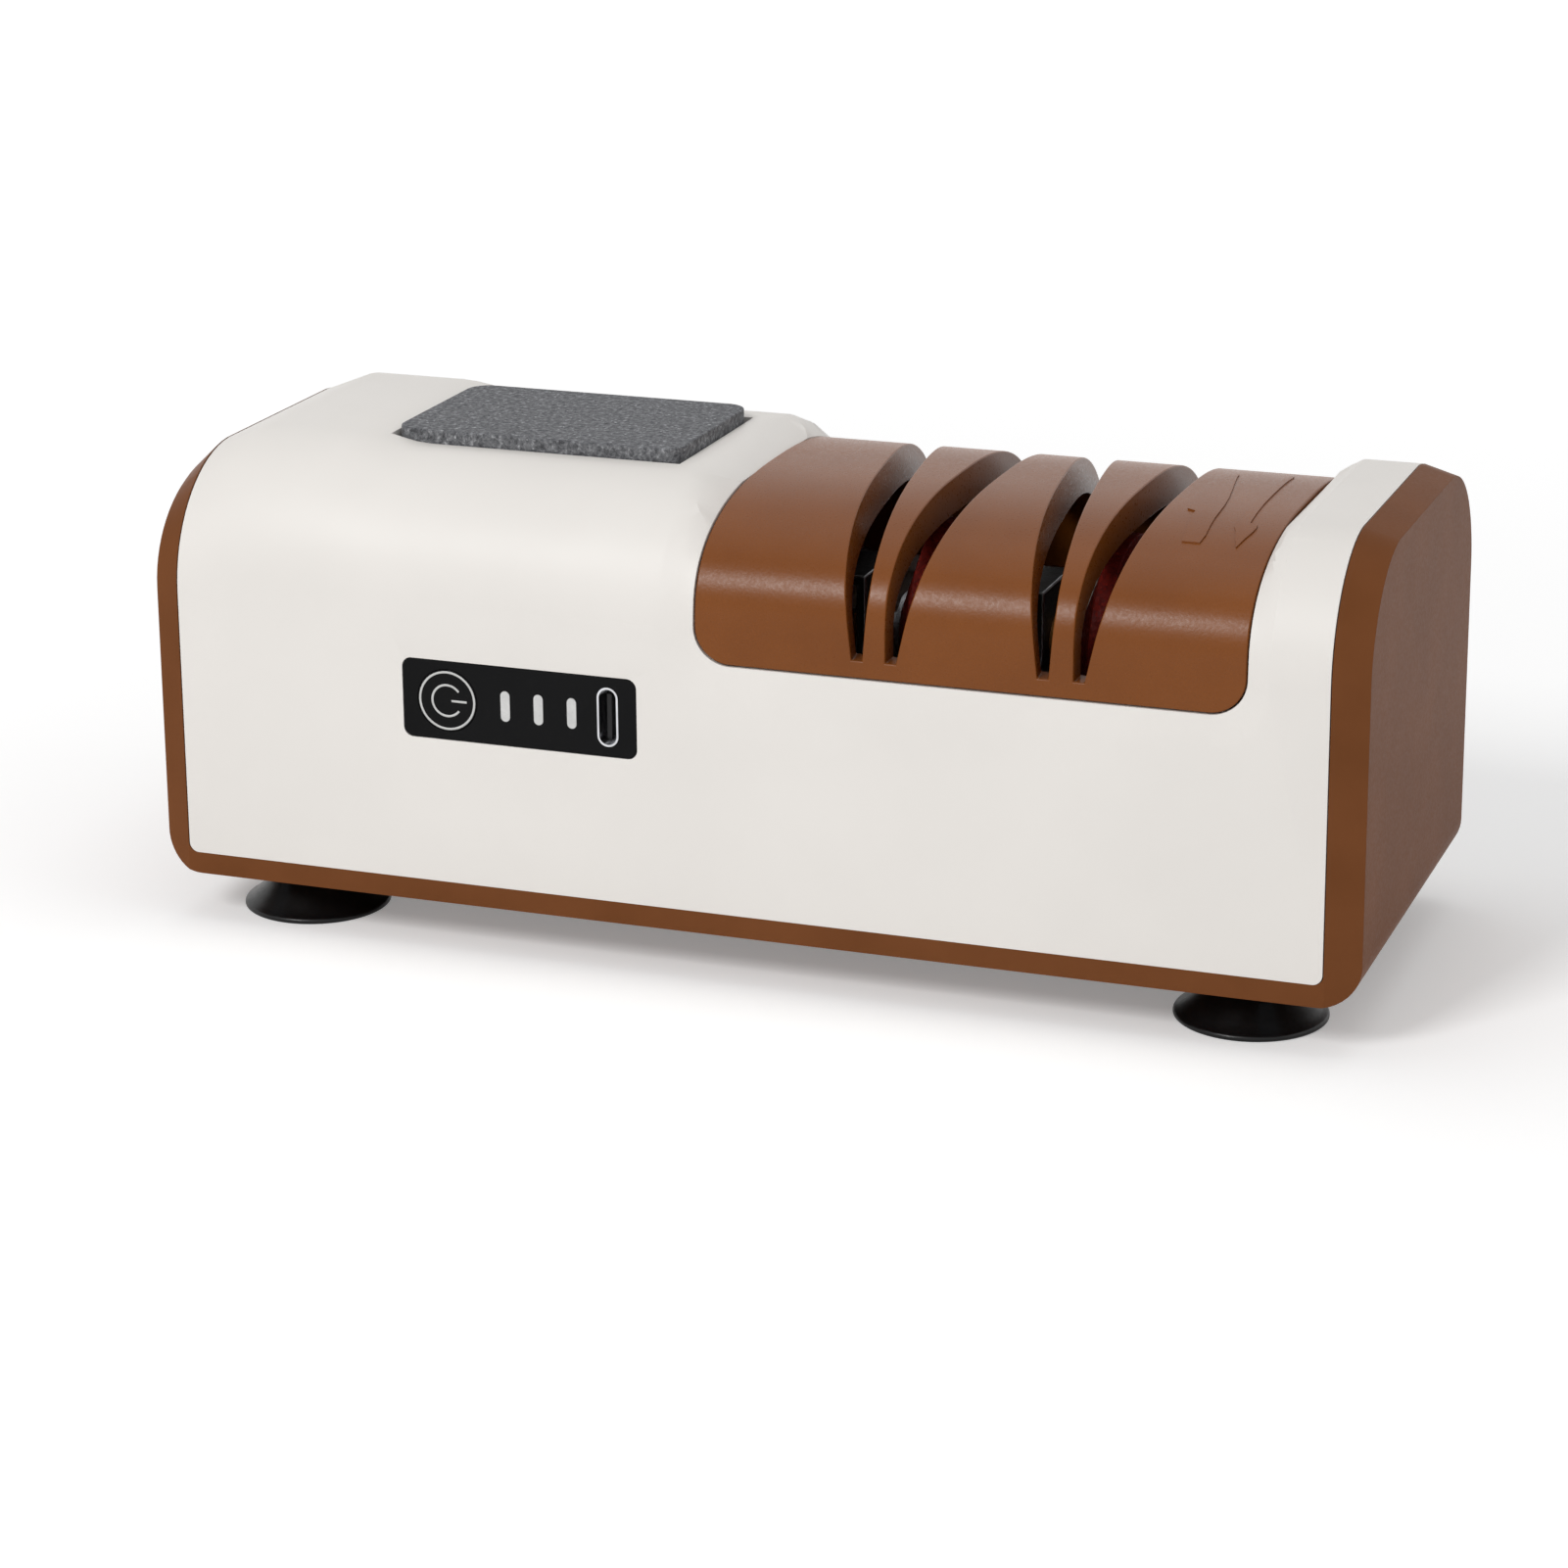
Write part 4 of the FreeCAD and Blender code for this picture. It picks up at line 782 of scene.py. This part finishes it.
# %% [markdown]
# ## Printed power mark
#
# The button carries a ring, an open circle and a bar in thin grey lines. All three are the
# same thing, a line of a set width and rise that follows a path, so one Geometry Nodes tree
# draws them: the path becomes a curve, a small rectangle is swept along it, and the result
# is set to the mark's finish.


# %% A tree for printed lines
def line_tree():
    tree = bpy.data.node_groups.new("printed line", "GeometryNodeTree")
    face = tree.interface
    face.new_socket("Geometry", in_out="INPUT", socket_type="NodeSocketGeometry")
    wide = face.new_socket("Line Width", in_out="INPUT", socket_type="NodeSocketFloat")
    high = face.new_socket("Line Rise", in_out="INPUT", socket_type="NodeSocketFloat")
    coat = face.new_socket("Finish", in_out="INPUT", socket_type="NodeSocketMaterial")
    face.new_socket("Geometry", in_out="OUTPUT", socket_type="NodeSocketGeometry")
    start = tree.nodes.new("NodeGroupInput")
    end = tree.nodes.new("NodeGroupOutput")
    path = tree.nodes.new("GeometryNodeMeshToCurve")
    shape = tree.nodes.new("GeometryNodeCurvePrimitiveQuadrilateral")
    sweep = tree.nodes.new("GeometryNodeCurveToMesh")
    sweep.inputs["Fill Caps"].default_value = True
    real = tree.nodes.new("GeometryNodeRealizeInstances")
    paint = tree.nodes.new("GeometryNodeSetMaterial")
    link = tree.links.new
    link(start.outputs["Geometry"], path.inputs["Mesh"])
    link(start.outputs["Line Rise"], shape.inputs["Width"])
    link(start.outputs["Line Width"], shape.inputs["Height"])
    link(path.outputs["Curve"], sweep.inputs["Curve"])
    link(shape.outputs["Curve"], sweep.inputs["Profile Curve"])
    link(sweep.outputs["Mesh"], real.inputs["Geometry"])
    link(real.outputs["Geometry"], paint.inputs["Geometry"])
    link(start.outputs["Finish"], paint.inputs["Material"])
    link(paint.outputs["Geometry"], end.inputs["Geometry"])
    return tree, {"width": wide.identifier, "rise": high.identifier, "finish": coat.identifier}


printed_line, line_inputs = line_tree()
print("tree:", printed_line.name, list(line_inputs))


# %% Draw the power mark
def circle_path(middle, radius, first, last, steps=48):
    points = []
    for step in range(steps + 1):
        angle = math.radians(first + (last - first) * step / steps)
        points.append((middle[0] + radius * math.cos(angle), middle[1],
                       middle[2] + radius * math.sin(angle)))
    return points


def printed(name, path, closed, body, width=0.34, rise=0.03):
    count = len(path)
    edges = [(i, i + 1) for i in range(count - 1)] + ([(count - 1, 0)] if closed else [])
    mesh = bpy.data.meshes.new(name)
    mesh.from_pydata([tuple(v * MM for v in spot) for spot in path], edges, [])
    piece = placed(name, mesh)
    draw = piece.modifiers.new("line", "NODES")
    draw.node_group = printed_line
    draw[line_inputs["width"]] = width * MM
    draw[line_inputs["rise"]] = rise * MM
    draw[line_inputs["finish"]] = mark_grey
    baked(piece)
    facing_out(piece.data)
    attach(piece, body)
    size = [round(1000 * v, 2) for v in piece.dimensions]
    print("printed", name, size, len(piece.data.polygons))
    return piece


low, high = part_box("power_button")
middle = ((low.x + high.x) * 500, low.y * 1000 + 0.012, (low.z + high.z) * 500)
printed("mark_ring", circle_path(middle, 4.32, 90, 442.5, 47), True, "button")
printed("mark_arc", circle_path(middle, 2.36, 38, 322, 30), False, "button")
bar = [(middle[0] + x, middle[1], middle[2]) for x in (0.7, 1.9, 3.1)]
printed("mark_bar", bar, False, "button")

# %% [markdown]
# ## Camera
#
# The camera stands where the photographer's stood: to the right of the front and a little
# above. The picture's centre of projection lies off its middle, which the shift takes up.

# %% Place the camera
turned_by = math.radians(19.84)
raised_by = math.radians(16.23)
rolled_by = math.radians(-0.34)
back = Vector((math.sin(turned_by) * math.cos(raised_by),
               -math.cos(turned_by) * math.cos(raised_by), math.sin(raised_by)))
level_right = Vector((math.cos(turned_by), math.sin(turned_by), 0.0))
level_up = back.cross(level_right)
right = level_right * math.cos(rolled_by) + level_up * math.sin(rolled_by)
up = level_up * math.cos(rolled_by) - level_right * math.sin(rolled_by)
eye = bpy.data.cameras.new("photo camera")
eye.sensor_width = 36.0
eye.lens = 98.19
eye.shift_x = -0.01964
eye.shift_y = -0.10414
eye.clip_start = 0.01
camera = placed("photo camera", eye)
axes = Matrix((right, up, back)).transposed().to_4x4()
camera.matrix_world = Matrix.Translation(Vector((0, 0, 0.0455)) + back * 0.640) @ axes
bpy.context.scene.camera = camera
print("camera stands at", [round(v, 3) for v in camera.matrix_world.translation])

# %% [markdown]
# ## Floor, world and lamps
#
# A product picture has a pale surround and soft lamps. The world gives an even fill, a lamp
# in front, to the left and above draws the highlight along the curved front, and weaker ones
# from above and from the right open the shadows. The surround looks white to the camera and
# in reflections, without adding light to the object, and the floor keeps its shadow.


# %% White for the eye only
def mixed_for_eye(tree, plain_look, seen_look):
    # The second look is what the camera sees, and what gloss and glass show of it.
    rays = tree.nodes.new("ShaderNodeLightPath")
    glossy = tree.nodes.new("ShaderNodeMath")
    glossy.operation = "MAXIMUM"
    tree.links.new(rays.outputs["Is Glossy Ray"], glossy.inputs[0])
    tree.links.new(rays.outputs["Is Transmission Ray"], glossy.inputs[1])
    seen = tree.nodes.new("ShaderNodeMath")
    seen.operation = "MAXIMUM"
    tree.links.new(rays.outputs["Is Camera Ray"], seen.inputs[0])
    tree.links.new(glossy.outputs["Value"], seen.inputs[1])
    either = tree.nodes.new("ShaderNodeMixShader")
    tree.links.new(seen.outputs["Value"], either.inputs["Fac"])
    tree.links.new(plain_look, either.inputs[1])
    tree.links.new(seen_look, either.inputs[2])
    return either.outputs["Shader"]


# %% Pale floor
floor_mesh = bpy.data.meshes.new("floor")
floor_mesh.from_pydata([(-3, -3, 0), (3, -3, 0), (3, 3, 0), (-3, 3, 0)], [], [(0, 1, 2, 3)])
floor = placed("floor", floor_mesh)
floor_material = bpy.data.materials.new("pale floor")
floor_material.use_nodes = True
tree = floor_material.node_tree
shader = tree.nodes["Principled BSDF"]
place = tree.nodes.new("ShaderNodeTexCoord")
cloud = add(tree, "ShaderNodeTexNoise", Scale=3.0, Detail=2.0)
tree.links.new(place.outputs["Object"], cloud.inputs["Vector"])
pale = ramp_between(tree, cloud.outputs["Fac"], [(0.3, chart(248, 248, 248)),
                                                 (0.7, chart(251, 251, 251))])
tree.links.new(pale, shader.inputs["Base Color"])
shader.inputs["Roughness"].default_value = 0.9
shader.inputs["Specular IOR Level"].default_value = 0.0
away = tree.nodes.new("ShaderNodeVectorMath")
away.operation = "LENGTH"
tree.links.new(place.outputs["Object"], away.inputs[0])
lift = add(tree, "ShaderNodeMapRange", From_Min=0.1, From_Max=1.3, To_Min=0.24, To_Max=0.9)
tree.links.new(away.outputs["Value"], lift.inputs["Value"])
glow = add(tree, "ShaderNodeEmission", Color=(1.0, 1.0, 1.0, 1.0))
tree.links.new(lift.outputs["Result"], glow.inputs["Strength"])
white = tree.nodes.new("ShaderNodeAddShader")
tree.links.new(shader.outputs["BSDF"], white.inputs[0])
tree.links.new(glow.outputs["Emission"], white.inputs[1])
tree.links.new(mixed_for_eye(tree, shader.outputs["BSDF"], white.outputs["Shader"]),
               tree.nodes["Material Output"].inputs["Surface"])
dress(floor, floor_material)
print("floor is 6 m wide")


# %% World and lamps
world = bpy.data.worlds.new("studio")
bpy.context.scene.world = world
world.use_nodes = True
tree = world.node_tree
fill = tree.nodes["Background"]
fill.inputs["Color"].default_value = (1.0, 1.0, 1.0, 1.0)
fill.inputs["Strength"].default_value = 0.42
plain = add(tree, "ShaderNodeBackground", Color=(1.0, 1.0, 1.0, 1.0), Strength=1.0)
tree.links.new(mixed_for_eye(tree, fill.outputs["Background"], plain.outputs["Background"]),
               tree.nodes["World Output"].inputs["Surface"])


def lamp(name, place, aim, size, power):
    light = bpy.data.lights.new(name, "AREA")
    light.energy = power
    light.size = size
    holder = placed(name, light)
    holder.location = place
    holder.rotation_euler = (Vector(aim) - Vector(place)).to_track_quat("-Z", "Y").to_euler()
    print("lamp", name, power, "W")


lamp("key", (-0.28, -0.8, 0.66), (0.0, 0.0, 0.05), 0.3, 4.6)
lamp("top", (0.0, 0.15, 1.0), (0.0, 0.0, 0.05), 0.8, 1.3)
lamp("side", (0.9, -0.1, 0.6), (0.0, 0.0, 0.04), 0.5, 0.6)
bpy.context.scene.view_settings.view_transform = "Standard"
